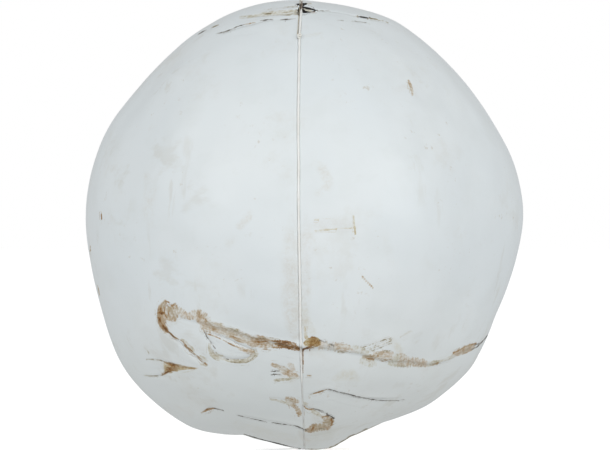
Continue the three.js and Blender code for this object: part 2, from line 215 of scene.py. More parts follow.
class Line:
    """A line on the ball: points, and values carried along it."""

    def __init__(self, points, step=1.4, directions=None, slant=SLANT):
        self.front = directions is None
        if self.front:
            rows = along(points, step)
            self.values = rows[:, 2:]
            d = on_ball(rows[:, :2])
        else:
            d, self.values = directions, np.asarray(points, float)
        self.normal = d
        self.p = d * slack_radius(d)[:, None]
        if self.front:
            self.p = front_space(self.p, slant)

    def near(self, spaces, reach):
        """For each point: distance, signed side, arc length, how far past an end, and the carried values."""
        q = spaces[0] if self.front else spaces[1]
        n = len(q)
        best = np.full(n, 1e9)
        side = np.zeros(n)
        run = np.zeros(n)
        past = np.zeros(n)
        values = np.zeros((n, self.values.shape[1]))
        lo, hi = self.p.min(0) - reach, self.p.max(0) + reach
        idx = np.nonzero(((q >= lo) & (q <= hi)).all(1))[0]
        if len(idx) == 0:
            return best, side, run, past, values
        seg = self.p[1:] - self.p[:-1]
        length = np.maximum(np.linalg.norm(seg, axis=1), 1e-9)
        start = np.concatenate([[0], np.cumsum(length)])
        for k in range(len(seg)):
            m = idx[((q[idx] >= np.minimum(self.p[k], self.p[k + 1]) - reach)
                     & (q[idx] <= np.maximum(self.p[k], self.p[k + 1]) + reach)).all(1)]
            if len(m) == 0:
                continue
            rel = q[m] - self.p[k]
            whole = rel @ seg[k] / length[k] ** 2
            t = np.clip(whole, 0, 1)
            off = rel - t[:, None] * seg[k]
            d = np.linalg.norm(off, axis=1)
            closer = d < best[m]
            m, t, d, off, whole = m[closer], t[closer], d[closer], off[closer], whole[closer]
            up = np.array([-seg[k][2], 0, seg[k][0]]) if self.front else np.cross(self.normal[k], seg[k])
            up = up / max(np.linalg.norm(up), 1e-9)
            best[m] = d
            side[m] = np.where(off @ up >= 0, 1.0, -1.0) * d
            run[m] = start[k] + t * length[k]
            beyond = np.zeros(len(m))
            if k == 0:
                beyond = np.maximum(beyond, -whole * length[k])
            if k == len(seg) - 1:
                beyond = np.maximum(beyond, (whole - 1) * length[k])
            past[m] = beyond
            values[m] = self.values[k] + t[:, None] * (self.values[k + 1] - self.values[k])
        return best, side, run, past, values


# ------------------------------------------------------------- folds and marks
# Positions are units of the front view (610 x 450), depths and widths mm.
# ledge: the cover steps in below the line and comes back out slowly.
LEDGES = [
    ([(160, 311, 0.1), (170, 312, 0.4), (184, 317, 0.7), (203, 323, 1.1), (216, 327.5, 1.4), (230, 331.5, 1.5),
      (250, 338.5, 1.7), (268, 342.5, 1.9), (285, 345.5, 2.2), (299, 348.5, 2.4), (310, 347, 2.3), (320, 346, 2.0),
      (336, 348.5, 1.7), (354, 351.5, 1.5), (368, 355.5, 1.6), (380, 359, 1.6), (395, 361.5, 1.6), (410, 363, 1.5),
      (425, 365, 1.5), (438, 363.5, 1.4), (447, 359, 1.3), (458, 352.5, 1.2), (470, 347.5, 1.2), (480, 342.5, 1.0),
      (487, 336, 0.7)], 2.6, 15.0),
    ([(309, 395.5, 0.2), (320.8, 391.6, 0.7), (328.8, 389.3, 1.0), (344.9, 393.3, 1.0), (362.3, 397.8, 0.9),
      (383.7, 400.6, 0.7), (403, 400.0, 0.1)], 1.3, 12.0),
    ([(236, 415, 0.1), (250.8, 418.4, 0.6), (266, 421.9, 0.9), (283.9, 424.4, 1.0), (303, 428.8, 1.2),
      (314, 429.5, 1.0), (325, 427.0, 0.7), (333, 421.5, 0.2)], 1.5, 12.0),
]
# grooves: depth and half width.
GROOVES = [
    [(158.5, 316, 0.3, 1.2), (163, 327, 0.8, 1.3), (170, 333, 0.9, 1.2), (181, 342, 0.8, 1.1), (192, 352.5, 0.9, 1.2),
     (202.9, 362, 0.6, 1.0), (207.5, 365, 0.1, 1.0)],
    [(204, 330.5, 0.2, 0.9), (207.2, 337.7, 0.6, 1.0), (211.6, 344.2, 0.8, 1.0), (215.6, 349, 0.1, 0.9)],
    [(206, 332.5, 0.1, 0.9), (216, 336.6, 0.6, 1.0), (230, 343.1, 0.8, 1.1), (244.1, 349.7, 0.9, 1.3),
     (254, 353, 0.8, 1.5), (257, 350.2, 0.1, 1.0)],
    [(209.4, 344.2, 0.2, 1.1), (210.2, 350.7, 0.5, 1.3), (214.8, 355.1, 0.6, 1.4), (222, 358.5, 0.6, 1.3),
     (233.3, 361, 0.7, 1.2), (245, 360.5, 0.7, 1.2), (252.8, 356.2, 0.6, 1.2), (256, 353, 0.1, 1.0)],
    [(262, 348.0, 0.1, 0.9), (272, 346.5, 0.6, 1.0), (284, 348.5, 0.9, 1.1), (297, 350.5, 1.2, 1.2)],
    [(146.5, 358.9, 0.1, 0.8), (157.4, 359.6, 0.5, 0.9), (168, 362.4, 0.7, 1.0), (183.4, 366.2, 0.7, 1.0),
     (196.4, 368.2, 0.1, 0.8)],
    [(144.3, 375.1, 0.1, 0.9), (152, 376.2, 0.6, 1.0), (162, 375.4, 0.7, 1.1), (173, 371.2, 0.5, 1.0),
     (184, 368.4, 0.1, 0.8)],
    [(309, 395.3, 0.2, 0.8), (320.8, 391.4, 1.0, 0.9), (328.8, 389.1, 1.1, 0.9), (344.9, 393.1, 1.0, 0.8),
     (362.3, 397.7, 0.9, 0.7), (383.7, 400.5, 0.8, 0.7), (402, 400.1, 0.1, 0.6)],
    [(238, 415.3, 0.1, 0.7), (250.8, 418.4, 0.6, 0.7), (266, 421.9, 0.8, 0.7), (283.9, 424.4, 0.9, 0.7),
     (294, 426.1, 0.9, 0.8), (303.5, 428.9, 0.6, 0.8)],
    [(303.4, 403.4, 0.2, 1.0), (307.4, 408.4, 0.7, 1.1), (316.8, 411.0, 0.7, 1.0), (325, 413, 0.8, 0.9),
     (333, 417.8, 0.3, 0.8)],
    [(270, 399.3, 0.1, 0.8), (286.5, 402.3, 0.6, 1.0), (296, 407, 0.6, 1.2), (300.5, 415, 0.2, 1.1)],
    [(202.3, 412.7, 0.1, 0.8), (207.4, 409.5, 0.6, 1.1), (213.8, 408.1, 0.7, 1.0), (223.3, 410.4, 0.1, 0.7)],
    [(217, 33.8, 0.2, 0.7), (226, 31.2, 0.8, 0.7), (236, 27.0, 0.9, 0.7), (250.4, 23.6, 0.8, 0.6),
     (266, 20.0, 0.7, 0.6), (276, 19.6, 0.3, 0.6), (285, 19.2, 0.7, 0.6), (292, 19.0, 0.1, 0.6)],
    [(243, 17.2, 0.2, 1.0), (258, 14.6, 0.9, 1.1), (275, 12.9, 1.4, 1.2), (290, 11.9, 2.2, 1.4),
     (301, 10.6, 3.0, 2.0), (307, 10.4, 2.8, 1.8), (316, 11.0, 2.0, 1.0), (329, 11.0, 0.7, 0.7),
     (345, 13.5, 0.4, 0.7), (359, 16.5, 1.2, 0.8), (370, 18.8, 1.2, 0.8), (384, 21.9, 0.6, 0.7), (396, 26, 0.1, 0.7)],
    [(288, 6.0, 0.1, 0.7), (298, 4.6, 1.6, 0.8), (304, 4.2, 1.8, 0.8), (310, 3.9, 0.6, 0.7), (318, 4.4, 0.1, 0.6)],
    [(362.5, 276.5, 0.1, 0.7), (368, 282.0, 0.35, 0.8), (373, 288, 0.1, 0.7)],
    [(366.3, 352.2, 0.3, 0.8), (382.4, 343.2, 0.35, 0.7), (391, 339.4, 0.1, 0.7)],
    [(369, 353.6, 0.3, 0.8), (380, 348.6, 0.35, 0.7), (392, 344.2, 0.1, 0.7)],
]

# Marks where the white finish is worn or dirtied, and painted shade: black painted shadow in the
# fold at the top, dark lines along the top creases, partly painted shade, and the dark line along the
# underside's edge. Kind (w brown, o ochre, g olive grey, b black), whether its streaks run across it
# (1) or along it (0), and rows of u, v, half width, strength. All in units of the front view. Smears are
# the broad pale marks; lines lie over them.
SMEARS = [
    # the hook on the left: its upright, then the two blobs
    ("w", 0, [(165.6, 301.4, 2.0, 0.63), (162.6, 305.0, 2.6, 0.84), (161.4, 309.0, 3.3, 0.90), (160.8, 314.0, 3.7, 0.96),
              (161.2, 320.0, 3.3, 0.96), (163.2, 326.0, 3.0, 0.96), (166.2, 331.2, 2.4, 0.88)]),
    ("w", 1, [(164.6, 314.2, 6.0, 0.52), (168.0, 314.2, 7.6, 0.71), (172.0, 313.4, 7.8, 0.77), (176.0, 311.8, 7.4, 0.72),
              (180.0, 312.6, 5.8, 0.63), (184.0, 315.0, 3.8, 0.51), (188.0, 316.4, 3.1, 0.44), (192.0, 315.4, 4.2, 0.42),
              (196.0, 314.8, 5.5, 0.54), (200.0, 316.4, 6.3, 0.60), (204.0, 319.6, 6.3, 0.52), (207.0, 322.4, 4.7, 0.46)]),
    ("g", 0, [(182.0, 339.6, 1.4, 0.36), (187.0, 343.6, 2.0, 0.46), (191.0, 347.6, 2.2, 0.46), (193.4, 351.0, 1.6, 0.4)]),
    ("g", 0, [(199.6, 356.4, 1.6, 0.36), (204.0, 358.6, 1.8, 0.42), (207.4, 361.4, 1.4, 0.31)]),
    ("g", 0, [(200.6, 363.8, 1.4, 0.3), (206.4, 364.8, 1.6, 0.36)]),
    # the long band left of the seam
    ("w", 0, [(202.6, 324.6, 3.6, 0.50), (208.0, 326.4, 5.4, 0.53), (215.0, 327.4, 5.6, 0.55), (222.0, 329.6, 5.4, 0.53),
              (230.0, 332.8, 5.4, 0.53), (238.0, 335.8, 5.4, 0.55), (246.0, 339.0, 5.2, 0.61), (254.0, 341.0, 5.4, 0.61),
              (262.0, 342.4, 5.6, 0.61), (270.0, 343.4, 5.2, 0.59), (277.0, 344.2, 4.1, 0.55)]),
    ("g", 0, [(209.2, 344.0, 1.4, 0.40), (210.2, 350.0, 2.0, 0.50), (214.0, 354.8, 3.2, 0.56), (219.2, 357.2, 3.6, 0.54),
              (224.4, 358.2, 2.2, 0.44)]),
    ("g", 0, [(227.0, 360.2, 1.5, 0.50), (236.0, 361.2, 1.8, 0.54), (245.0, 361.0, 1.9, 0.54), (250.6, 358.6, 2.4, 0.54),
              (254.6, 354.8, 3.2, 0.60), (254.4, 351.0, 3.2, 0.56)]),
    ("w", 0, [(239.0, 347.8, 1.9, 0.48), (246.0, 350.4, 2.6, 0.56), (252.0, 352.0, 3.0, 0.56)]),
    # the arrow-shaped patch far left
    ("o", 0, [(166.4, 367.6, 5.6, 0.74), (171.0, 367.6, 4.6, 0.76), (177.0, 367.6, 3.3, 0.74), (183.0, 367.8, 2.2, 0.70),
              (190.0, 368.1, 1.2, 0.62), (197.0, 368.4, 0.7, 0.5)]),
    ("w", 0, [(162.6, 375.0, 1.0, 0.66), (165.2, 373.0, 1.6, 0.76), (168.4, 371.4, 1.4, 0.74)]),
    # patches close to the seam
    ("w", 0, [(272.0, 364.4, 1.8, 0.44), (278.0, 366.4, 2.2, 0.50), (282.0, 369.4, 3.4, 0.54), (287.0, 372.2, 3.6, 0.56),
              (292.0, 374.6, 2.8, 0.56), (299.0, 377.0, 1.6, 0.52)]),
    ("g", 0, [(274.4, 380.4, 1.3, 0.52), (283.0, 379.8, 1.4, 0.54), (291.0, 378.8, 1.3, 0.52), (298.0, 377.8, 1.0, 0.46)]),
    ("w", 1, [(288.6, 364.0, 2.0, 0.30), (291.6, 366.4, 3.0, 0.34), (293.0, 370.4, 2.4, 0.34)]),
    # right of the seam
    ("o", 0, [(305.6, 344.0, 2.6, 0.84), (309.6, 342.6, 5.0, 0.98), (314.4, 342.4, 5.0, 0.96), (319.4, 343.6, 3.4, 0.76)]),
    ("o", 0, [(304.8, 327.6, 1.1, 0.46), (305.2, 333.0, 1.6, 0.56), (306.2, 338.0, 1.8, 0.62)]),
    ("w", 1, [(320.4, 345.4, 4.4, 0.46), (326.0, 345.8, 4.4, 0.46), (332.0, 347.0, 3.6, 0.42), (335.6, 347.6, 2.6, 0.34)]),
    ("w", 0, [(337.4, 347.2, 3.7, 0.53), (343.0, 347.8, 4.4, 0.57), (349.0, 348.8, 3.7, 0.50), (353.4, 350.0, 2.8, 0.38)]),
    ("g", 1, [(353.0, 348.8, 3.9, 0.31), (358.0, 349.8, 3.9, 0.34), (363.0, 351.4, 3.7, 0.38), (367.0, 353.0, 3.2, 0.40)]),
    ("w", 0, [(364.4, 356.4, 1.9, 0.53), (368.4, 357.4, 2.8, 0.69), (373.2, 357.6, 2.8, 0.65)]),
    ("w", 0, [(374.6, 355.0, 3.7, 0.48), (379.0, 355.6, 4.8, 0.57), (385.0, 355.8, 5.0, 0.57), (391.6, 356.2, 4.5, 0.50)]),
    ("g", 1, [(361.0, 361.2, 3.4, 0.30), (366.0, 362.2, 4.8, 0.33), (371.0, 362.8, 4.5, 0.33), (375.4, 362.0, 3.5, 0.24)]),
    ("g", 1, [(391.0, 359.4, 5.8, 0.40), (398.0, 360.4, 6.1, 0.47)]),
    ("w", 1, [(400.4, 354.4, 1.9, 0.47), (403.2, 355.8, 2.5, 0.53), (406.4, 357.4, 1.9, 0.43)]),
    ("w", 1, [(399.6, 361.4, 5.0, 0.55), (407.0, 361.8, 5.0, 0.60), (414.0, 362.0, 4.8, 0.60), (420.0, 362.6, 4.4, 0.56),
              (426.0, 363.4, 3.6, 0.47)]),
    ("g", 1, [(428.4, 364.2, 2.6, 0.34), (433.0, 363.4, 2.9, 0.58), (438.0, 362.0, 1.8, 0.56), (441.6, 360.8, 1.0, 0.36)]),
    ("g", 0, [(443.0, 360.4, 1.3, 0.28), (448.0, 358.6, 1.5, 0.32), (453.0, 356.2, 2.2, 0.38)]),
    ("w", 0, [(454.6, 354.0, 2.4, 0.56), (459.0, 352.2, 3.3, 0.66), (464.0, 350.0, 3.6, 0.70), (469.0, 348.0, 3.6, 0.70),
              (473.4, 346.4, 2.9, 0.60)]),
    # the loop low down, either side of the seam
    ("g", 0, [(270.4, 399.4, 0.9, 0.42), (276.0, 400.2, 1.2, 0.47), (283.0, 402.0, 1.5, 0.49), (288.4, 403.2, 1.7, 0.43)]),
    ("w", 1, [(286.4, 399.8, 3.0, 0.63), (290.6, 400.4, 3.6, 0.72), (294.6, 401.0, 2.8, 0.65), (298.2, 401.4, 1.6, 0.54)]),
    ("w", 1, [(291.0, 404.0, 2.0, 0.54), (294.4, 406.4, 2.1, 0.59), (297.0, 409.0, 2.2, 0.63), (298.8, 412.2, 2.8, 0.76),
              (299.6, 415.2, 2.0, 0.68)]),
    ("g", 0, [(303.8, 403.4, 1.8, 0.41), (307.4, 404.4, 1.5, 0.40)]),
    ("g", 0, [(312.4, 411.2, 2.0, 0.42), (316.4, 413.4, 2.3, 0.46), (320.2, 415.8, 1.6, 0.32)]),
    ("w", 1, [(322.8, 417.4, 2.0, 0.59), (326.4, 418.8, 4.2, 0.68), (328.8, 421.8, 5.2, 0.79), (327.0, 425.4, 4.8, 0.79),
              (322.6, 427.0, 3.8, 0.72), (317.0, 427.4, 4.0, 0.79), (312.4, 428.8, 3.8, 0.83), (308.4, 430.0, 2.6, 0.76),
              (305.0, 430.2, 1.5, 0.63)]),
    # top: smears along the creases, partly dirt and partly painted shade
    ("g", 0, [(240.0, 17.6, 1.5, 0.30), (250.0, 16.4, 1.7, 0.36), (258.0, 15.2, 1.8, 0.40), (266.0, 14.0, 2.0, 0.46),
              (276.0, 13.0, 2.3, 0.44), (288.0, 12.4, 2.8, 0.50), (297.0, 12.2, 2.6, 0.55)]),
    ("g", 0, [(305.4, 3.4, 0.9, 0.46), (311.0, 3.2, 0.8, 0.34)]),
    # small and faint ones
    ("w", 0, [(408.6, 80.6, 0.9, 0.50), (410.6, 86.0, 1.5, 0.66), (412.2, 91.6, 1.1, 0.52), (412.8, 95.4, 0.8, 0.4)]),
    ("w", 0, [(362.6, 276.6, 0.9, 0.46), (367.0, 281.4, 0.9, 0.40), (373.0, 287.6, 0.8, 0.36)]),
    ("o", 0, [(353.9, 216.4, 0.9, 0.40), (354.6, 225.5, 0.9, 0.36), (355.4, 234.6, 0.9, 0.40)]),
    ("o", 0, [(315.3, 230.4, 0.9, 0.34), (334.0, 229.2, 0.9, 0.36), (352.2, 227.9, 0.8, 0.34)]),
    ("o", 0, [(313.7, 219.9, 0.9, 0.34), (330.4, 219.0, 0.8, 0.30)]),
    ("g", 0, [(400.0, 337.0, 0.9, 0.28), (411.4, 330.8, 0.9, 0.26)]),
]

MARKS = [
    # the hook's dark edge
    ("w", 0, [(156.4, 313.4, 0.6, 0.59), (159.0, 312.8, 1.2, 0.91), (161.6, 311.4, 1.2, 0.93)]),
    ("w", 1, [(161.8, 306.0, 0.7, 0.73), (161.0, 309.6, 1.5, 0.95), (161.7, 313.6, 1.9, 1.07)]),
    ("w", 0, [(160.6, 316.4, 0.8, 0.79), (159.7, 320.0, 1.4, 0.99), (161.4, 323.0, 1.2, 0.85)]),
    ("w", 0, [(162.0, 324.8, 1.3, 0.91), (163.8, 327.2, 1.8, 1.05), (166.0, 330.2, 1.6, 1.03), (168.2, 332.6, 1.0, 0.89)]),
    ("w", 0, [(164.6, 307.2, 0.8, 0.79), (164.2, 311.8, 0.9, 0.83)]),
    ("w", 0, [(158.4, 316.8, 0.7, 0.79), (157.8, 321.0, 0.6, 0.73)]),
    ("w", 0, [(163.6, 303.2, 0.9, 0.78), (166.2, 301.4, 1.3, 0.99), (168.8, 302.4, 0.9, 0.81)]),
    ("w", 0, [(166.6, 304.0, 0.8, 0.96), (167.4, 306.6, 0.6, 0.63)]),
    ("w", 0, [(168.8, 309.4, 0.7, 0.69), (168.2, 315.6, 0.9, 0.83)]),
    ("w", 0, [(163.8, 313.6, 0.8, 0.77), (166.8, 317.6, 0.9, 0.67)]),
    ("w", 0, [(175.4, 305.4, 0.6, 0.64), (176.2, 310.4, 0.8, 0.71)]),
    ("w", 0, [(171.8, 312.0, 0.6, 0.64), (172.4, 318.8, 0.8, 0.74)]),
    ("w", 0, [(198.8, 311.6, 0.6, 0.57), (199.6, 317.4, 0.7, 0.64)]),
    ("w", 0, [(203.6, 315.4, 0.7, 0.67), (205.2, 320.6, 0.8, 0.53)]),
    ("w", 1, [(170.4, 307.4, 1.2, 0.66), (174.6, 304.8, 1.6, 0.74), (178.4, 307.6, 1.4, 0.66)]),
    ("w", 1, [(170.0, 316.6, 1.3, 0.64), (175.6, 316.4, 1.4, 0.70), (181.0, 317.0, 1.0, 0.56)]),
    ("w", 1, [(194.8, 313.0, 1.0, 0.52), (199.0, 313.6, 1.2, 0.62), (203.0, 317.4, 1.3, 0.66), (207.0, 321.0, 1.1, 0.60)]),
    # its leg
    ("w", 0, [(167.8, 331.6, 1.1, 0.91), (171.0, 334.2, 1.2, 0.83), (174.0, 337.2, 1.0, 0.95), (177.0, 338.5, 0.9, 0.74),
              (180.4, 340.0, 0.9, 0.85), (184.0, 343.2, 1.2, 0.81), (187.0, 347.0, 1.7, 0.87), (190.4, 350.6, 1.8, 0.99),
              (193.4, 353.2, 1.0, 0.81), (197.0, 356.2, 0.9, 0.85), (200.0, 359.2, 1.3, 0.72), (203.4, 361.8, 1.2, 0.78),
              (206.8, 364.4, 1.0, 0.70)]),
    # creases under the band
    ("b", 0, [(204.4, 331.8, 0.8, 0.60), (206.6, 336.4, 0.7, 0.70), (209.6, 340.8, 0.6, 0.53), (212.4, 344.6, 0.7, 0.86),
              (215.4, 348.4, 0.6, 0.78)]),
    ("w", 0, [(202.0, 328.8, 1.2, 0.52), (204.0, 331.2, 1.0, 0.70)]),
    ("w", 0, [(206.6, 333.4, 0.8, 0.68), (212.0, 335.4, 0.8, 0.67), (219.0, 338.2, 0.8, 0.72), (226.0, 341.6, 0.8, 0.69),
              (231.0, 344.2, 1.2, 0.92), (236.0, 346.4, 1.2, 0.86), (242.0, 349.0, 0.9, 0.69), (250.0, 351.6, 0.9, 0.70),
              (256.6, 351.2, 0.9, 0.72)]),
    ("b", 0, [(223.4, 357.8, 0.6, 0.66), (228.4, 359.4, 0.5, 0.6)]),
    ("g", 0, [(229.0, 361.8, 0.6, 0.56), (238.0, 362.6, 0.8, 0.60), (246.4, 362.4, 0.8, 0.66), (251.2, 359.2, 0.7, 0.62),
              (256.4, 353.4, 0.8, 0.66)]),
    ("g", 0, [(232.0, 359.8, 0.6, 0.56), (244.0, 359.6, 0.6, 0.6), (250.0, 356.8, 0.7, 0.6)]),
    # strands in the band
    ("w", 0, [(228.0, 335.0, 0.8, 0.46), (234.0, 337.2, 1.1, 0.67), (240.0, 339.4, 1.3, 0.71), (246.0, 341.4, 1.0, 0.56)]),
    ("g", 0, [(207.0, 321.8, 0.8, 0.45), (216.0, 323.4, 0.9, 0.46), (226.0, 327.0, 0.8, 0.41), (236.0, 330.8, 0.9, 0.48),
              (246.0, 334.4, 0.9, 0.56), (252.0, 337.0, 0.8, 0.56), (262.0, 338.4, 0.8, 0.58), (270.0, 337.6, 0.7, 0.48),
              (277.4, 338.8, 0.6, 0.51)]),
    ("w", 0, [(210.0, 328.6, 1.0, 0.46), (218.0, 330.0, 0.9, 0.46), (226.0, 332.2, 0.8, 0.43)]),
    ("w", 0, [(252.0, 341.2, 0.9, 0.60), (262.0, 341.6, 1.2, 0.89), (268.0, 341.2, 1.2, 0.95), (275.0, 341.2, 1.3, 1.06),
              (281.0, 341.8, 1.2, 0.99)]),
    ("w", 0, [(250.0, 338.0, 0.9, 0.56), (258.0, 339.4, 0.9, 0.71), (266.0, 339.8, 0.8, 0.71)]),
    ("w", 0, [(256.0, 344.4, 1.0, 0.58), (264.0, 344.8, 1.2, 0.78), (270.0, 346.4, 1.0, 0.78), (276.0, 347.6, 0.9, 0.81),
              (280.4, 346.8, 1.1, 0.91)]),
    ("w", 0, [(262.0, 349.2, 0.9, 0.50), (270.0, 349.8, 0.9, 0.52), (277.0, 350.6, 0.6, 0.33)]),
    ("w", 0, [(276.0, 344.0, 1.5, 0.87), (281.0, 343.8, 3.2, 0.97), (287.4, 344.2, 4.0, 1.05), (292.4, 345.4, 4.2, 1.09),
              (296.0, 347.2, 3.3, 1.05), (299.0, 349.4, 1.6, 0.95)]),
    ("w", 0, [(283.0, 342.4, 0.8, 1.21), (288.0, 343.2, 0.9, 1.25), (293.0, 345.0, 1.0, 1.21), (296.6, 347.4, 0.8, 1.15)]),
    ("w", 0, [(280.0, 346.0, 0.7, 1.11), (286.0, 347.0, 0.8, 1.17), (291.0, 348.6, 0.7, 1.17)]),
    ("w", 0, [(279.0, 346.4, 1.0, 0.97), (285.0, 347.4, 1.4, 1.11), (290.0, 348.6, 1.5, 1.15), (294.6, 349.8, 1.2, 1.11),
              (297.8, 350.6, 0.7, 0.99)]),
    # streaks of the arrow-shaped patch, and the lines that lead to it
    ("w", 0, [(165.2, 362.8, 0.6, 0.84), (172.0, 363.9, 0.7, 1.03), (178.0, 365.5, 0.6, 0.93), (186.0, 367.1, 0.4, 0.80),
              (193.0, 368.2, 0.4, 0.65)]),
    ("w", 0, [(165.4, 365.2, 0.5, 0.74), (173.0, 365.9, 0.6, 0.89), (181.0, 367.0, 0.4, 0.78)]),
    ("w", 0, [(165.6, 367.6, 0.5, 0.80), (174.0, 367.8, 0.5, 0.91), (184.0, 368.0, 0.4, 0.84), (190.0, 368.2, 0.4, 0.78),
              (198.0, 368.5, 0.4, 0.65)]),
    ("w", 0, [(165.8, 369.8, 0.5, 0.84), (174.0, 369.1, 0.5, 0.93), (183.0, 368.6, 0.4, 0.84)]),
    ("w", 0, [(162.8, 374.8, 0.7, 0.89), (166.6, 372.2, 0.8, 1.02), (172.0, 371.0, 0.6, 0.95), (178.4, 369.7, 0.5, 0.82)]),
    ("g", 0, [(147.0, 359.2, 0.6, 0.50), (157.4, 359.7, 0.6, 0.64), (163.0, 361.4, 0.7, 0.80), (168.0, 363.0, 0.7, 0.78)]),
    ("g", 0, [(144.3, 375.1, 0.6, 0.50), (150.4, 376.0, 0.7, 0.60), (157.0, 375.9, 0.7, 0.66), (163.0, 374.8, 0.8, 0.84)]),
    ("g", 0, [(146.8, 350.2, 0.8, 0.46), (149.0, 353.2, 0.7, 0.44)]),
    # patches close to the seam
    ("b", 0, [(271.6, 371.3, 0.6, 0.74), (280.0, 371.2, 0.5, 0.66)]),
    ("b", 0, [(271.6, 374.5, 0.6, 0.80), (280.2, 374.3, 0.6, 0.72)]),
    ("w", 0, [(279.0, 367.4, 0.8, 0.54), (285.0, 370.6, 0.9, 0.58), (291.0, 373.8, 0.8, 0.58), (298.0, 376.8, 0.8, 0.62)]),
    ("g", 0, [(275.0, 381.0, 0.7, 0.62), (280.0, 381.0, 0.7, 0.6)]),
    # the ochre patch right of the seam
    ("o", 1, [(307.0, 341.6, 2.4, 0.81), (310.4, 341.4, 4.6, 1.01), (314.6, 342.0, 4.4, 0.99), (318.0, 343.6, 2.6, 0.81)]),
    ("w", 0, [(303.0, 349.6, 0.8, 1.08), (305.0, 348.6, 1.2, 1.16), (308.0, 347.2, 1.6, 1.18), (311.6, 346.0, 1.4, 1.10),
              (315.6, 344.8, 1.2, 1.02), (320.2, 344.2, 0.9, 0.90)]),
    ("o", 1, [(308.6, 343.6, 1.6, 1.10), (311.6, 343.4, 2.2, 1.16), (315.0, 343.6, 1.6, 1.06)]),
    ("w", 0, [(309.6, 338.0, 0.9, 0.92), (312.6, 337.2, 1.1, 0.99), (316.0, 339.0, 0.9, 0.88)]),
    ("b", 1, [(320.6, 340.8, 0.9, 0.54), (325.0, 342.0, 0.9, 0.58), (330.0, 344.0, 0.9, 0.56), (334.4, 346.2, 0.7, 0.48)]),
    ("b", 1, [(322.6, 344.8, 0.7, 0.44), (328.0, 346.2, 0.7, 0.46), (333.4, 348.2, 0.6, 0.4)]),
    ("w", 0, [(339.4, 347.8, 0.9, 0.55), (345.0, 348.4, 0.9, 0.53), (351.0, 350.0, 0.7, 0.45)]),
    ("g", 0, [(338.0, 352.2, 0.7, 0.36), (346.0, 352.0, 0.7, 0.40), (352.0, 351.2, 0.6, 0.34)]),
    ("w", 0, [(364.6, 357.2, 0.7, 0.57), (368.4, 358.8, 0.9, 0.77), (373.4, 359.2, 0.8, 0.71)]),
    ("w", 0, [(376.2, 352.8, 0.8, 0.60), (378.2, 356.2, 0.8, 0.57)]),
    ("w", 0, [(380.4, 358.8, 0.8, 0.64), (386.0, 360.2, 0.8, 0.67), (391.4, 359.0, 0.7, 0.64)]),
    ("g", 0, [(384.0, 351.4, 0.7, 0.43), (391.4, 351.0, 0.8, 0.40)]),
    # the fan of fine lines
    ("g", 0, [(360.5, 347.8, 0.6, 0.40), (368.0, 345.8, 0.6, 0.61), (376.0, 342.8, 0.6, 0.67), (384.0, 339.8, 0.6, 0.63),
              (391.4, 337.4, 0.7, 0.41)]),
    ("g", 0, [(366.0, 350.6, 0.7, 0.33), (375.0, 347.4, 0.7, 0.53), (384.0, 343.8, 0.7, 0.51), (391.6, 340.6, 0.7, 0.39)]),
    ("g", 0, [(370.0, 352.0, 0.6, 0.36), (380.0, 347.8, 0.7, 0.45), (391.2, 343.6, 0.7, 0.39)]),
    ("g", 0, [(362.4, 350.2, 0.7, 0.30), (370.0, 348.0, 0.7, 0.45), (377.0, 344.8, 0.7, 0.43)]),
    # the band further right, out to the edge
    ("w", 0, [(400.8, 354.2, 0.6, 0.59), (402.6, 357.0, 0.7, 0.55)]),
    ("w", 0, [(401.6, 361.0, 0.7, 0.57), (403.4, 364.8, 0.7, 0.55)]),
    ("w", 0, [(431.6, 365.4, 0.6, 0.56), (436.0, 363.8, 0.7, 0.68), (440.0, 362.2, 0.5, 0.60)]),
    ("g", 0, [(399.0, 366.2, 0.6, 0.46), (412.0, 366.4, 0.6, 0.50), (424.0, 366.8, 0.6, 0.46)]),
    ("w", 0, [(453.4, 353.0, 0.7, 0.71), (459.6, 349.8, 0.9, 0.73), (465.0, 346.8, 0.8, 0.71), (471.0, 344.4, 0.8, 0.75),
              (476.0, 343.2, 0.7, 0.79)]),
    ("w", 0, [(462.6, 349.0, 0.7, 0.59), (463.8, 353.2, 0.7, 0.55)]),
    ("w", 0, [(468.6, 346.6, 0.7, 0.61), (470.0, 350.4, 0.7, 0.57)]),
    ("b", 0, [(472.0, 349.4, 0.8, 0.65), (477.0, 346.8, 0.9, 0.79), (481.0, 342.8, 0.9, 0.83), (484.6, 339.0, 0.8, 0.87),
              (487.6, 335.2, 0.7, 0.92)]),
    ("b", 0, [(474.0, 345.4, 0.6, 0.59), (479.4, 343.4, 0.6, 0.73)]),
    ("w", 0, [(305.2, 375.6, 1.1, 0.44), (311.6, 375.8, 1.0, 0.40)]),
    # brown line in the groove right of the welt, below the crossing
    ("w", 0, [(302.9, 349.5, 0.6, 1.10), (303.0, 356.0, 0.6, 1.02), (303.1, 363.0, 0.6, 1.00), (303.1, 369.5, 0.5, 0.86),
              (303.0, 374.0, 0.4, 0.6)]),
    # the sharp crease low on the right
    ("g", 0, [(308.7, 395.4, 0.7, 0.54), (313.4, 393.9, 0.9, 0.8)]),
    ("w", 0, [(313.4, 393.9, 1.0, 0.86), (317.6, 392.7, 1.0, 0.92), (320.8, 391.5, 1.0, 0.92), (326.0, 389.7, 0.8, 0.80),
              (328.6, 389.2, 0.7, 0.66)]),
    ("b", 0, [(328.0, 389.1, 0.5, 0.58), (330.4, 389.5, 0.6, 0.66), (336.9, 391.4, 0.6, 0.78), (344.9, 393.1, 0.6, 0.78),
              (354.3, 395.8, 0.6, 0.72), (362.3, 397.7, 0.6, 0.76), (373.0, 399.5, 0.6, 0.80), (383.7, 400.5, 0.6, 0.78),
              (398.6, 400.3, 0.6, 0.72)]),
    ("b", 0, [(401.8, 399.9, 0.8, 0.44), (404.6, 399.6, 0.7, 0.48)]),
    # the loop low on the right
    ("w", 0, [(303.8, 405.6, 0.6, 0.65), (306.2, 408.6, 1.1, 0.74), (309.4, 409.8, 1.4, 0.81), (312.4, 408.9, 1.0, 0.71)]),
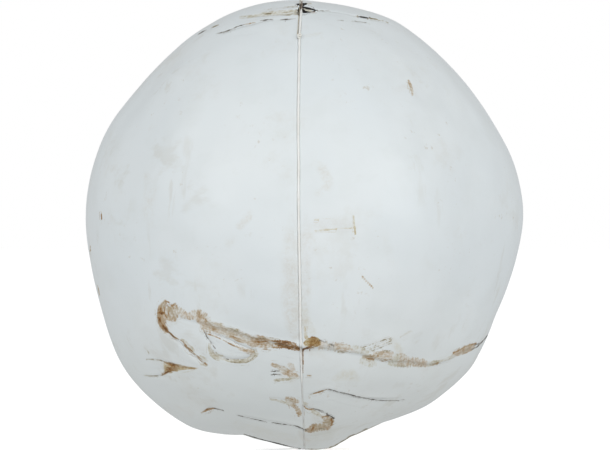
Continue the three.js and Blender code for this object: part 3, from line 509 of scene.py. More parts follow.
    ("b", 0, [(313.0, 408.8, 0.5, 0.47), (318.0, 409.6, 0.5, 0.55), (323.0, 411.2, 0.6, 0.71)]),
    ("b", 0, [(326.8, 414.2, 0.7, 0.76), (330.0, 415.8, 0.7, 0.89), (333.8, 418.0, 0.7, 0.89)]),
    ("w", 0, [(322.2, 417.4, 0.7, 0.67), (325.8, 416.6, 0.8, 0.76), (329.2, 418.0, 0.8, 0.72)]),
    ("w", 0, [(330.2, 419.2, 1.1, 0.88), (332.0, 422.0, 1.3, 0.94), (330.8, 425.2, 1.1, 0.88)]),
    ("w", 0, [(322.4, 421.0, 0.7, 0.57), (326.0, 423.8, 0.7, 0.59)]),
    ("w", 0, [(316.0, 424.2, 0.9, 0.74), (313.4, 427.0, 1.4, 0.98), (311.6, 430.2, 1.3, 0.98)]),
    ("g", 0, [(319.6, 428.8, 0.8, 0.70), (325.0, 429.0, 0.8, 0.68)]),
    ("b", 0, [(303.4, 429.6, 0.6, 0.88), (306.0, 430.0, 0.7, 0.8)]),
    ("w", 0, [(286.4, 398.0, 0.8, 0.64), (291.6, 399.2, 1.0, 0.68), (297.6, 400.8, 0.8, 0.64)]),
    ("w", 0, [(292.0, 403.6, 0.8, 0.61), (295.6, 407.2, 0.9, 0.64)]),
    ("w", 0, [(297.8, 414.0, 1.0, 0.77), (300.0, 414.8, 0.9, 0.77)]),
    ("b", 0, [(236.0, 415.0, 0.4, 0.44), (244.0, 416.8, 0.5, 0.60), (250.8, 418.4, 0.6, 0.74), (259.7, 420.4, 0.6, 0.78),
              (267.0, 422.0, 0.5, 0.62)]),
    ("b", 0, [(272.4, 422.7, 0.5, 0.68), (278.4, 423.7, 0.7, 0.78), (284.0, 424.5, 0.6, 0.78), (290.0, 425.3, 0.6, 0.72),
              (296.0, 426.2, 0.7, 0.70), (300.4, 427.6, 0.6, 0.70), (303.4, 429.2, 0.6, 0.74)]),
    # the underside's edge: a dark line of painted shade along it
    ("b", 0, [(244.0, 434.6, 1.2, 0.60), (256.0, 438.1, 1.2, 0.94), (266.0, 440.9, 1.3, 1.02), (278.0, 443.8, 1.3, 1.02),
              (290.0, 446.8, 1.3, 0.98), (300.0, 449.0, 1.4, 0.90)]),
    ("g", 0, [(306.0, 449.6, 1.2, 0.60), (322.0, 449.4, 1.2, 0.64), (333.0, 447.5, 1.5, 0.80), (342.0, 442.7, 1.3, 0.98),
              (350.0, 438.4, 1.3, 1.04), (360.0, 433.7, 1.3, 1.04), (368.0, 429.4, 1.6, 0.96), (380.0, 423.8, 1.3, 0.70)]),
    ("w", 0, [(202.0, 412.7, 0.9, 0.66), (207.4, 409.9, 1.5, 0.82), (213.2, 408.3, 0.9, 0.80)]),
    ("b", 0, [(213.0, 408.2, 0.6, 0.78), (218.0, 409.2, 0.6, 0.72), (223.6, 410.5, 0.5, 0.56)]),
    # top, beside the seam: lines along the creases, partly dirt and partly painted shade
    ("g", 0, [(241.0, 17.2, 0.7, 0.42), (252.0, 15.8, 0.7, 0.37), (262.0, 14.4, 0.8, 0.49)]),
    ("g", 0, [(264.2, 13.9, 0.8, 0.73), (268.0, 13.6, 1.1, 0.91), (272.4, 13.3, 0.8, 0.71)]),
    ("g", 0, [(280.0, 12.5, 0.8, 0.53), (286.0, 12.2, 1.0, 0.77), (292.0, 12.1, 1.0, 0.73), (297.0, 12.0, 1.0, 0.91)]),
    ("g", 0, [(264.0, 9.6, 0.8, 0.29), (276.0, 8.4, 0.9, 0.37), (288.0, 7.2, 0.9, 0.41), (297.0, 6.6, 0.8, 0.41)]),
    ("g", 0, [(282.0, 15.4, 0.7, 0.31), (290.0, 14.9, 0.7, 0.37), (297.4, 14.5, 0.6, 0.37)]),
    ("w", 0, [(296.4, 12.2, 0.8, 0.95), (298.4, 12.4, 0.8, 1.2)]),
    ("w", 0, [(309.8, 12.3, 0.5, 1.10), (312.8, 12.3, 0.6, 0.90), (316.4, 12.2, 0.5, 0.80)]),
    ("g", 0, [(352.6, 16.0, 0.6, 0.40), (357.0, 16.3, 0.6, 0.56)]),
    ("b", 0, [(359.6, 16.6, 0.8, 0.92), (364.0, 17.3, 0.9, 1.08), (368.4, 18.1, 0.7, 1.08)]),
    ("g", 0, [(369.0, 18.3, 0.7, 0.96), (374.0, 19.0, 0.7, 0.68), (379.0, 20.0, 0.7, 0.76), (383.0, 21.0, 0.7, 0.72),
              (388.4, 22.8, 0.6, 0.44)]),
    ("b", 0, [(352.4, 21.0, 0.5, 0.32), (358.0, 21.6, 0.6, 0.36), (367.0, 22.6, 0.5, 0.38)]),
    ("b", 0, [(337.0, 20.1, 0.5, 0.30), (344.0, 20.6, 0.5, 0.36)]),
    # small ones higher up
    ("w", 0, [(101.0, 212.4, 0.8, 0.84), (101.5, 219.0, 0.8, 0.76)]),
    ("w", 0, [(90.3, 246.0, 0.7, 0.68), (90.4, 251.0, 0.7, 0.60)]),
    ("w", 0, [(97.4, 285.0, 0.7, 0.56), (99.6, 296.0, 0.7, 0.54)]),
    ("b", 0, [(198.4, 34.4, 0.7, 0.58), (202.6, 31.9, 0.8, 0.72), (206.4, 30.0, 0.6, 0.54)]),
    ("g", 0, [(211.2, 28.2, 0.7, 0.54), (215.0, 26.4, 0.9, 0.66), (218.4, 25.1, 0.8, 0.60)]),
    # black, painted shadow where the cover is folded in beside the seam at the top; next to it, dark lines along the
    # creases, partly dirt and partly painted shade
    ("b", 0, [(302.0, 7.0, 1.0, 2.0), (304.6, 7.4, 1.2, 2.1), (308.0, 8.2, 1.2, 2.1), (312.0, 9.3, 1.0, 2.0),
              (316.0, 10.5, 0.5, 1.5), (319.0, 10.8, 0.4, 0.9)]),
    ("b", 0, [(302.8, 10.2, 1.6, 2.1), (304.2, 11.5, 1.6, 2.1), (306.6, 11.9, 1.2, 2.1), (309.0, 12.2, 0.8, 2.0),
              (311.4, 12.3, 0.4, 1.2)]),
    ("b", 0, [(316.6, 10.8, 0.6, 0.60), (322.0, 10.9, 0.5, 0.52), (329.4, 10.9, 0.6, 0.58)]),
    ("b", 0, [(296.6, 4.2, 0.7, 1.5), (298.8, 4.3, 1.1, 2.1), (300.8, 4.6, 1.4, 2.1)]),
    ("b", 0, [(300.2, 5.0, 1.0, 1.9), (300.0, 8.4, 0.9, 1.9)]),
    ("b", 0, [(302.4, 4.3, 1.6, 2.1), (303.8, 4.4, 1.9, 2.1), (306.0, 3.9, 1.1, 1.7)]),
    ("b", 0, [(299.6, 7.6, 0.9, 1.9), (298.9, 10.4, 1.3, 2.1), (298.9, 13.0, 1.3, 2.1), (299.3, 15.8, 0.7, 1.6)]),
    ("b", 0, [(216.2, 33.7, 0.6, 0.30), (223.0, 32.2, 0.6, 0.46), (229.0, 30.4, 0.8, 0.82), (234.0, 27.9, 0.8, 0.86),
              (238.4, 26.2, 0.7, 0.80), (244.0, 24.6, 0.6, 0.56)]),
    ("w", 0, [(244.6, 24.5, 0.6, 0.52), (250.0, 23.3, 0.8, 0.70), (256.4, 22.1, 0.6, 0.52)]),
    ("b", 0, [(260.3, 20.7, 0.5, 0.46), (266.0, 19.9, 0.7, 0.64), (272.4, 19.4, 0.6, 0.60)]),
    ("b", 0, [(280.2, 19.5, 0.6, 0.64), (285.6, 19.3, 0.8, 0.76), (290.0, 19.0, 0.5, 0.46), (296.0, 18.5, 0.5, 0.30)]),
    ("b", 0, [(298.5, 31.4, 0.4, 0.50), (297.9, 33.2, 0.5, 0.62), (298.3, 34.8, 0.4, 0.40)]),
    ("b", 0, [(298.2, 36.2, 0.4, 0.40), (297.7, 37.6, 0.5, 0.62), (298.4, 39.8, 0.4, 0.50)]),
]
# Soft stains: kind (w brown, o ochre), and rows as above.
STAINS = [
    ("w", [(293.0, 214.0, 8.0, 0.08), (292.0, 236.0, 11.0, 0.24), (291.5, 262.0, 13.0, 0.28), (291.5, 290.0, 14.0, 0.32),
           (292.5, 316.0, 12.0, 0.34), (295.0, 334.0, 9.0, 0.28)]),
    ("w", [(305.0, 218.0, 6.0, 0.14), (306.5, 236.0, 10.0, 0.24), (305.5, 268.0, 8.0, 0.22), (305.5, 300.0, 8.0, 0.24),
           (305.0, 328.0, 7.0, 0.26)]),
    ("w", [(171.0, 326.0, 6.0, 0.12), (182.0, 334.0, 9.0, 0.16), (196.0, 344.0, 9.0, 0.18), (206.0, 352.0, 6.0, 0.16)]),
    ("w", [(286.0, 357.0, 5.0, 0.10), (284.0, 372.0, 12.0, 0.26), (292.0, 379.0, 8.0, 0.2)]),
    ("w", [(310.0, 352.0, 6.0, 0.2), (322.0, 354.0, 7.0, 0.16), (330.0, 362.0, 6.0, 0.1)]),
    ("o", [(334.0, 379.0, 5.0, 0.20), (344.0, 375.0, 8.0, 0.34), (352.0, 375.0, 8.0, 0.34), (358.0, 379.0, 5.0, 0.2)]),
    ("o", [(390.0, 338.0, 4.0, 0.12), (396.0, 345.0, 6.0, 0.32), (400.0, 353.0, 5.0, 0.3)]),
    ("w", [(375.0, 344.0, 6.0, 0.16), (390.0, 340.0, 6.0, 0.2)]),
    ("o", [(303.0, 36.8, 3.0, 0.2), (312.0, 35.0, 3.0, 0.24), (322.0, 33.4, 3.0, 0.16)]),
    ("w", [(314.0, 162.0, 5.0, 0.16), (322.0, 168.0, 8.0, 0.26), (328.0, 184.0, 8.0, 0.26), (318.0, 194.0, 6.0, 0.2)]),
    ("w", [(240.0, 226.0, 6.0, 0.3), (248.0, 217.0, 6.0, 0.36), (250.0, 212.0, 4.0, 0.2)]),
    ("w", [(228.0, 243.0, 6.0, 0.18), (236.0, 238.0, 5.0, 0.16)]),
    ("w", [(318.0, 226.0, 10.0, 0.18), (340.0, 222.0, 9.0, 0.2), (356.0, 226.0, 5.0, 0.16)]),
    ("w", [(146.0, 176.0, 6.0, 0.18), (150.0, 190.0, 9.0, 0.22), (148.0, 214.0, 9.0, 0.22), (152.0, 226.0, 6.0, 0.14)]),
    ("w", [(396.0, 90.0, 6.0, 0.14), (410.0, 88.0, 6.0, 0.24), (416.0, 96.0, 5.0, 0.14)]),
    ("w", [(378.0, 200.0, 6.0, 0.1), (388.0, 250.0, 7.0, 0.14), (398.0, 290.0, 7.0, 0.12)]),
    ("w", [(464.0, 330.0, 6.0, 0.14), (470.0, 310.0, 6.0, 0.1)]),
    ("w", [(168.0, 408.0, 8.0, 0.18), (190.0, 414.0, 7.0, 0.2)]),
    ("w", [(300.0, 432.0, 4.0, 0.26), (306.0, 441.0, 5.0, 0.28)]),
    ("o", [(236.0, 425.0, 8.0, 0.16), (256.0, 430.0, 9.0, 0.22), (276.0, 436.0, 9.0, 0.22), (296.0, 440.0, 8.0, 0.2)]),
    ("o", [(312.0, 440.0, 8.0, 0.22), (330.0, 436.0, 8.0, 0.22), (348.0, 428.0, 7.0, 0.14)]),
    ("o", [(302.0, 300.0, 6.0, 0.16), (306.0, 320.0, 8.0, 0.26), (312.0, 332.0, 7.0, 0.24)]),
    ("w", [(355.0, 360.0, 6.0, 0.1), (370.0, 365.0, 8.0, 0.2), (390.0, 366.0, 6.0, 0.14)]),
    ("w", [(310.0, 404.0, 6.0, 0.14), (318.0, 420.0, 8.0, 0.22)]),
    ("o", [(303.0, 9.2, 2.2, 1.4), (307.0, 10.2, 2.2, 1.4), (311.0, 11.2, 1.4, 1.2)]),
    ("w", [(262.0, 14.0, 4.0, 0.2), (290.0, 12.0, 3.0, 0.36)]),
]


# Folds and marks out of the front view's sight are drawn by angle: azimuth about Z
# (0 = front, 90 = left, 180 = back) and elevation, in degrees; widths in mm.
def by_angle(rows, step=1.6):
    run = along(np.asarray(rows, float), step / 2.9)
    a, e = np.radians(run[:, 0]), np.radians(run[:, 1])
    d = np.stack([-np.sin(a) * np.cos(e), -np.cos(a) * np.cos(e), np.sin(e)], 1)
    return Line(run[:, 2:], directions=d)


BACK_LEDGES = [
    ([(122, -8, 0.2), (132, -14, 1.0), (146, -20, 1.7), (160, -24, 2.0), (174, -25, 2.1), (186, -22, 1.9),
      (200, -20, 1.3), (212, -13, 0.2)], 2.8, 16.0),
    ([(228, 18, 0.2), (238, 25, 1.2), (250, 28, 1.5), (262, 26, 1.0), (270, 20, 0.2)], 2.4, 14.0),
]
BACK_GROOVES = [
    [(140, -17, 0.1, 1.0), (134, -26, 0.8, 1.1), (131, -36, 0.8, 1.1), (133, -44, 0.1, 0.9)],
    [(160, -24, 0.1, 1.0), (166, -33, 0.8, 1.1), (176, -40, 0.9, 1.2), (186, -44, 0.1, 0.9)],
    [(196, -20, 0.1, 1.0), (205, -30, 0.9, 1.1), (209, -42, 0.1, 1.0)],
    [(150, 40, 0.1, 0.9), (163, 44, 0.8, 1.0), (178, 43, 0.9, 1.0), (190, 38, 0.1, 0.8)],
    [(240, 25, 0.1, 1.0), (236, 37, 0.8, 1.0), (228, 46, 0.1, 0.9)],
    [(84, -28, 0.1, 0.9), (96, -33, 0.8, 1.0), (108, -34, 0.8, 1.0), (118, -30, 0.1, 0.9)],
    [(256, -30, 0.1, 0.9), (268, -36, 0.8, 1.0), (278, -36, 0.1, 0.9)],
]
BACK_SMEARS = [
    ("w", 1, [(126, -10.5, 2.6, 0.56), (136, -15.6, 4.0, 0.66), (147, -20.2, 4.4, 0.66), (158, -23.6, 4.0, 0.62)]),
    ("w", 0, [(160, -24.2, 3.4, 0.60), (170, -25.4, 4.2, 0.66), (178, -24.6, 4.0, 0.66), (187, -22.2, 3.2, 0.60),
              (198, -20.6, 2.4, 0.54)]),
    ("g", 0, [(164, -30, 1.6, 0.5), (168, -35, 2.4, 0.56), (176, -40, 2.6, 0.56), (183, -43, 1.6, 0.46)]),
    ("w", 1, [(235, 23.4, 2.6, 0.54), (246, 27.6, 4.0, 0.66), (257, 27.2, 3.2, 0.56)]),
]
BACK_MARKS = [
    ("w", 0, [(128, -12.4, 0.9, 0.66), (138, -17.4, 1.1, 0.80), (149, -22.0, 1.1, 0.76), (160, -25.0, 1.0, 0.8)]),
    ("w", 0, [(162, -24.2, 1.4, 0.80), (170, -25.4, 2.2, 1.0), (178, -24.6, 2.6, 1.16), (184, -22.8, 1.8, 0.98),
              (197, -20.8, 1.0, 0.7)]),
    ("w", 0, [(135, -24, 1.0, 0.7), (133, -29, 1.3, 0.8), (131.5, -37, 1.1, 0.68)]),
    ("w", 0, [(164, -30, 1.2, 0.66), (168, -35, 1.5, 0.8), (176, -40, 1.8, 0.86), (183, -43, 1.0, 0.6)]),
    ("w", 0, [(202, -27, 1.3, 0.76), (206, -34, 1.4, 0.78), (208, -39, 1.1, 0.66)]),
    ("w", 0, [(156, 42.2, 0.9, 0.66), (163, 43.8, 1.1, 0.84), (174, 43.6, 1.0, 0.76)]),
    ("w", 0, [(235, 23.4, 0.9, 0.7), (246, 27.4, 1.2, 0.88), (257, 27.0, 1.0, 0.76)]),
    ("w", 0, [(96, -33, 1.0, 0.76), (108, -34, 1.0, 0.7)]),
    ("w", 0, [(258, -31.4, 1.1, 0.7), (270, -36.4, 1.1, 0.7)]),
]
BACK_STAINS = [
    ("w", [(172, -18, 9.0, 0.2), (178, -10, 10.0, 0.3), (182, 0, 9.0, 0.22)]),
    ("w", [(120, 10, 12.0, 0.14), (130, 20, 14.0, 0.18)]),
    ("w", [(215, -30, 12.0, 0.16), (225, -20, 14.0, 0.2)]),
]

RNG = np.random.RandomState(20)
WAVES = []
for _amp, _length, _n in ((0.34, 95.0, 7), (0.16, 46.0, 9), (0.05, 21.0, 10)):
    for _ in range(_n):
        _v = RNG.normal(size=3)
        WAVES.append((_amp, _v / np.linalg.norm(_v) * 2 * math.pi / _length, RNG.uniform(0, 2 * math.pi)))

LEDGE_LINES = [(Line(rows), step, back) for rows, step, back in LEDGES]
LEDGE_LINES += [(by_angle(rows), step, back) for rows, step, back in BACK_LEDGES]
GROOVE_LINES = [Line(rows) for rows in GROOVES] + [by_angle(rows) for rows in BACK_GROOVES]


def both_spaces(q, slant=SLANT):
    """The front view's space, with what lies behind moved out of reach, and plain space."""
    f = front_space(q, slant)
    f[q[:, 1] > 30] += 1e4
    return f, q


def broad_fold(q):
    """Wide part of the folds: how far the cover moves out, in mm."""
    spaces = both_spaces(q)
    move = np.zeros(len(q))
    for amp, k, phase in WAVES:
        move += amp * np.sin(q @ k + phase)
    for line, step, back in LEDGE_LINES:
        dist, side, _run, past, val = line.near(spaces, back + 6)
        depth = val[:, 0]
        fall = smooth01((0.8 - side) / step)
        home = np.clip(1 - np.maximum(-side - step, 0) / back, 0, 1) ** 1.5
        lip = 0.2 * np.exp(-((side - 2.2) / 2.0) ** 2)
        move += np.where(dist < back + 6, -depth * fall * home + depth * lip, 0)
    # the outline is the settled shape's own, so the folds die out towards the view's edge
    rim = np.sqrt(q[:, 0] ** 2 + q[:, 2] ** 2) / np.linalg.norm(q, axis=1)
    return move * (1 - smooth01((rim - 0.90) / 0.085))


def sharp_fold(q):
    """Narrow grooves: movement, signed distance to the nearest one and its strength."""
    spaces = both_spaces(q)
    move = np.zeros(len(q))
    near = np.full(len(q), 8.0)
    strength = np.zeros(len(q))
    for line in GROOVE_LINES:
        dist, side, _run, past, val = line.near(spaces, 9)
        depth, half = val[:, 0], np.maximum(val[:, 1], 0.3)
        hit = dist < 9
        g = -depth * np.exp(-(dist / half) ** 1.5) + 0.18 * depth * np.exp(-((dist - 2.4 * half) / (1.1 * half)) ** 2)
        move += np.where(hit, g, 0)
        closer = hit & (dist < np.abs(near))
        near = np.where(closer, side, near)
        strength = np.where(closer, np.clip(depth, 0, 1.2) * smooth01(1 - past / 1.5), strength)
    return move, near, strength


def mark_lines(table, back):
    lines = [(kind, across, Line(rows, 1.2, slant=MARK_SLANT), UNIT) for kind, across, rows in table]
    return lines + [(kind, across, by_angle(rows), 1.0) for kind, across, rows in back]


LAYERS = {"smear": mark_lines(SMEARS, BACK_SMEARS), "mark": mark_lines(MARKS, BACK_MARKS)}
STAIN_LINES = [(kind, Line(rows, 2.0, slant=MARK_SLANT), UNIT) for kind, rows in STAINS]
STAIN_LINES += [(kind, by_angle(rows, 3.0), 1.0) for kind, rows in BACK_STAINS]


def mark_fields(q):
    """What each point's marks are, as attributes for the cover's material."""
    spaces = both_spaces(q, MARK_SLANT)
    n = len(q)
    out = {k: np.zeros(n) for k in ("stain", "ochre")}
    for layer, lines in LAYERS.items():
        for k in "kuxobg":
            out[layer + "_" + k] = np.zeros(n)
        out[layer + "_d"] = np.full(n, 6.0)
        out[layer + "_h"] = np.ones(n)
        best = np.full(n, -0.8)
        owner = np.full(n, -1)
        for j, (kind, across, line, unit) in enumerate(lines):
            dist, side, run, past, val = line.near(spaces, 11 if unit < 1 else 9)
            half = np.maximum(val[:, 0] * unit, 0.3)
            k = val[:, 1] * smooth01(1.35 - past / (0.9 + 0.35 * half))
            e = 1 - dist / half
            score = np.where(e > 0, e * k, e * 0.5)
            win = (dist < 9) & (score > best)
            best = np.where(win, score, best)
            owner = np.where(win, j, owner)
            k = k * (1 - smooth01((dist - half - 1.7) / 0.9))
            for key, value in (("d", side), ("h", half), ("k", k), ("u", run), ("x", float(across)),
                               ("o", float(kind == "o")), ("b", float(kind == "b")), ("g", float(kind == "g"))):
                key = layer + "_" + key
                out[key] = np.where(win, value, out[key])
        # lines side by side take their sides so that no false line shows between them
        sign = np.sign(out[layer + "_d"])
        a, b = owner[:-1], owner[1:]
        m = (a >= 0) & (b >= 0) & (a != b) & (np.linalg.norm(q[1:] - q[:-1], axis=1) < 3)
        pair = np.zeros((len(lines), len(lines)))
        np.add.at(pair, (a[m], b[m]), (sign[:-1] * sign[1:])[m])
        pair += pair.T
        turn = np.ones(len(lines))
        for _ in range(30):
            for j in range(len(lines)):
                if turn[j] * (pair[j] @ turn) < 0:
                    turn[j] = -turn[j]
        out[layer + "_d"] = np.where(owner >= 0, out[layer + "_d"] * turn[owner], out[layer + "_d"])
    for kind, line, unit in STAIN_LINES:
        dist, _side, _run, past, val = line.near(spaces, 16)
        half = np.maximum(val[:, 0] * unit, 0.5)
        f = val[:, 1] * smooth01(1.25 - dist / half)
        f = np.where(dist < 16, f, 0)
        key = "ochre" if kind == "o" else "stain"
        out[key] = np.maximum(out[key], f)
    return out


def seam_angle(v):
    """The seam's angle where the front view shows it at height v."""
    d = on_ball(np.array([[SEAM_U + 0.5, v]]))[0]
    return math.degrees(math.atan2(d[2], d[1])) % 360


# The welt lies deeper between the halves where the top fold swallows it, and low down.
TOP_FOLD, CROSSING, LOW_START, LOW_FULL = (seam_angle(v) for v in (10.5, 347.5, 375.0, 388.0))


CLOSE, SLIM = 0.40, 0.20


def slender(col):
    """How far the welt narrows below the main fold, 0 to 1."""
    c = np.mod(np.asarray(col, float) - 90, 360) + 90
    return smooth01((c - CROSSING - 0.3) / 1.2) * smooth01((300 - c) / 12)


def sunk(col):
    """How far the welt has sunk between the cover halves, 0 to 1."""
    c = np.mod(np.asarray(col, float) - 90, 360) + 90
    low = smooth01((c - LOW_START) / (LOW_FULL - LOW_START)) * smooth01((292 - c) / 12)
    top = smooth01((c - 99) / 4) * smooth01((TOP_FOLD + 0.6 - c) / 1.8)
    return np.maximum(low, 0.9 * top)


# ------------------------------------------------------------------ mesh helpers
def new_object(name, verts_mm, faces, smooth=True):
    mesh = bpy.data.meshes.new(name)
    mesh.from_pydata((np.asarray(verts_mm) * 0.001).tolist(), [], faces)
    mesh.validate(clean_customdata=False)
    mesh.update()
    if smooth:
        mesh.shade_smooth()
    obj = bpy.data.objects.new(name, mesh)
    bpy.context.scene.collection.objects.link(obj)
    return obj


def face_out(obj):
    """Turn a closed mesh's faces outwards."""
    me = obj.data
    me.calc_loop_triangles()
    co = np.zeros(len(me.vertices) * 3)
    me.vertices.foreach_get("co", co)
    co = co.reshape(-1, 3)
    tri = np.zeros(len(me.loop_triangles) * 3, np.int32)
    me.loop_triangles.foreach_get("vertices", tri)
    tri = tri.reshape(-1, 3)
    vol = (co[tri[:, 0]] * np.cross(co[tri[:, 1]], co[tri[:, 2]])).sum() / 6
    if vol < 0:
        me.flip_normals()
    return obj


def attribute(obj, name, values):
    a = obj.data.attributes.new(name, "FLOAT", "POINT")
    a.data.foreach_set("value", np.asarray(values, np.float32))


def zip_rings(a, ta, b, tb):
    """Triangles between two closed rings of vertex indices at angles ta and tb (rising, same start)."""
    faces = []
    i = j = 0
    na, nb = len(a), len(b)
    while i < na or j < nb:
        next_a = ta[(i + 1) % na] + (360 if i + 1 >= na else 0)
        next_b = tb[(j + 1) % nb] + (360 if j + 1 >= nb else 0)
        if j >= nb or (i < na and next_a <= next_b):
            faces.append((a[i % na], a[(i + 1) % na], b[j % nb]))
            i += 1
        else:
            faces.append((a[i % na], b[(j + 1) % nb], b[j % nb]))
            j += 1
    return faces


def ring_mesh(rings, cap_start=None, cap_end=None):
    """Faces between successive rings. Each ring is (indices, angles)."""
    faces = []
    for (a, ta), (b, tb) in zip(rings[:-1], rings[1:]):
        if len(a) == len(b):
            n = len(a)
            faces += [(a[k], a[(k + 1) % n], b[(k + 1) % n], b[k]) for k in range(n)]
        else:
            faces += zip_rings(a, ta, b, tb)
    for cap, (r, _t), flip in ((cap_start, rings[0], True), (cap_end, rings[-1], False)):
        if cap is not None:
            n = len(r)
            for k in range(n):
                tri = (r[k], r[(k + 1) % n], cap)
                faces.append(tri[::-1] if flip else tri)
    return faces


# ------------------------------------------------------------------- the covers
def columns():
    """Angles round the seam: 90 top, 180 front, 270 bottom. Fine where it shows most."""
    spans = [(88, 98, 1.8), (98, 114, 1.25), (114, 186, 2.3), (186, 199, 1.5), (199, 271, 1.08), (271, 448, 3.8)]
    out = []
    for a, b, step in spans:
        n = max(4, int(round((b - a) * math.pi / 180 * 170 / step)))
        out += list(a + (b - a) * np.arange(n) / n)
    n = len(out) - len(out) % 8
    return np.interp(np.linspace(0, 1, n, endpoint=False), np.linspace(0, 1, len(out), endpoint=False), out)


COLS = columns()
COARSE = COLS[::4]


def direction(x_sin, col):
    c = np.sqrt(np.maximum(1 - x_sin ** 2, 0))
    a = np.radians(col)
    return np.stack([np.broadcast_to(x_sin, a.shape), c * np.cos(a), c * np.sin(a)], 1)


def settle(p, fold=True, trim=False):
    """Nominal points about the ball's centre to settled ones in the row frame, mm."""
    r = np.linalg.norm(p, axis=1)
    d = p / np.maximum(r, 1e-9)[:, None]
    depth = NOMINAL_R - r
    k = smooth01((r - 85) / 65)
    grow = (slack_radius(d) - NOMINAL_R) * k
    if fold:
        grow = grow + broad_fold(d * slack_radius(d)[:, None]) * np.exp(-np.maximum(depth, 0) / 22.0) * k
    q = d * (r + grow)[:, None]
    q[:, 0] += drift(q[:, 2])
    if trim:
        floor = np.where(depth <= -BEAD_R, 0, np.where(depth <= 0, 0.3 * (depth + BEAD_R) / BEAD_R, np.where(
            depth <= EDGE_CHAMFER, 0.3 + (EDGE_CHAMFER - 0.3) * depth / EDGE_CHAMFER, depth)))
    else:
        floor = np.maximum(depth, 0)
    q[:, 2] = np.maximum(q[:, 2], floor - CENTRE_HEIGHT)
    shift = 1 - smooth01((r - SHIFT_FULL_R) / (SHIFT_NONE_R - SHIFT_FULL_R))
    return q + shift[:, None] * CORE_SHIFT + CENTRE


def seam_bumps(d, side):
    """Small puckers of the cover beside the welt where the main fold crosses the seam."""
    total = np.zeros(len(d))
    for uv, s, height, width in (((298.0, 343.6), -1, 1.5, 0.011), ((303.4, 344.8), 1, 1.4, 0.010),
                                 ((298.2, 349.6), -1, -1.0, 0.009), ((303.0, 350.6), 1, -1.0, 0.009)):
        if s != side:
            continue
        at = on_ball(np.array([uv]))[0]
        total += height * np.exp(-((d - at) ** 2).sum(1) / width ** 2)
    return total


FIELDS = tuple(a + "_" + b for a in ("smear", "mark") for b in "dhkuxobg") + ("stain", "ochre", "fold_d", "fold_a", "lip")


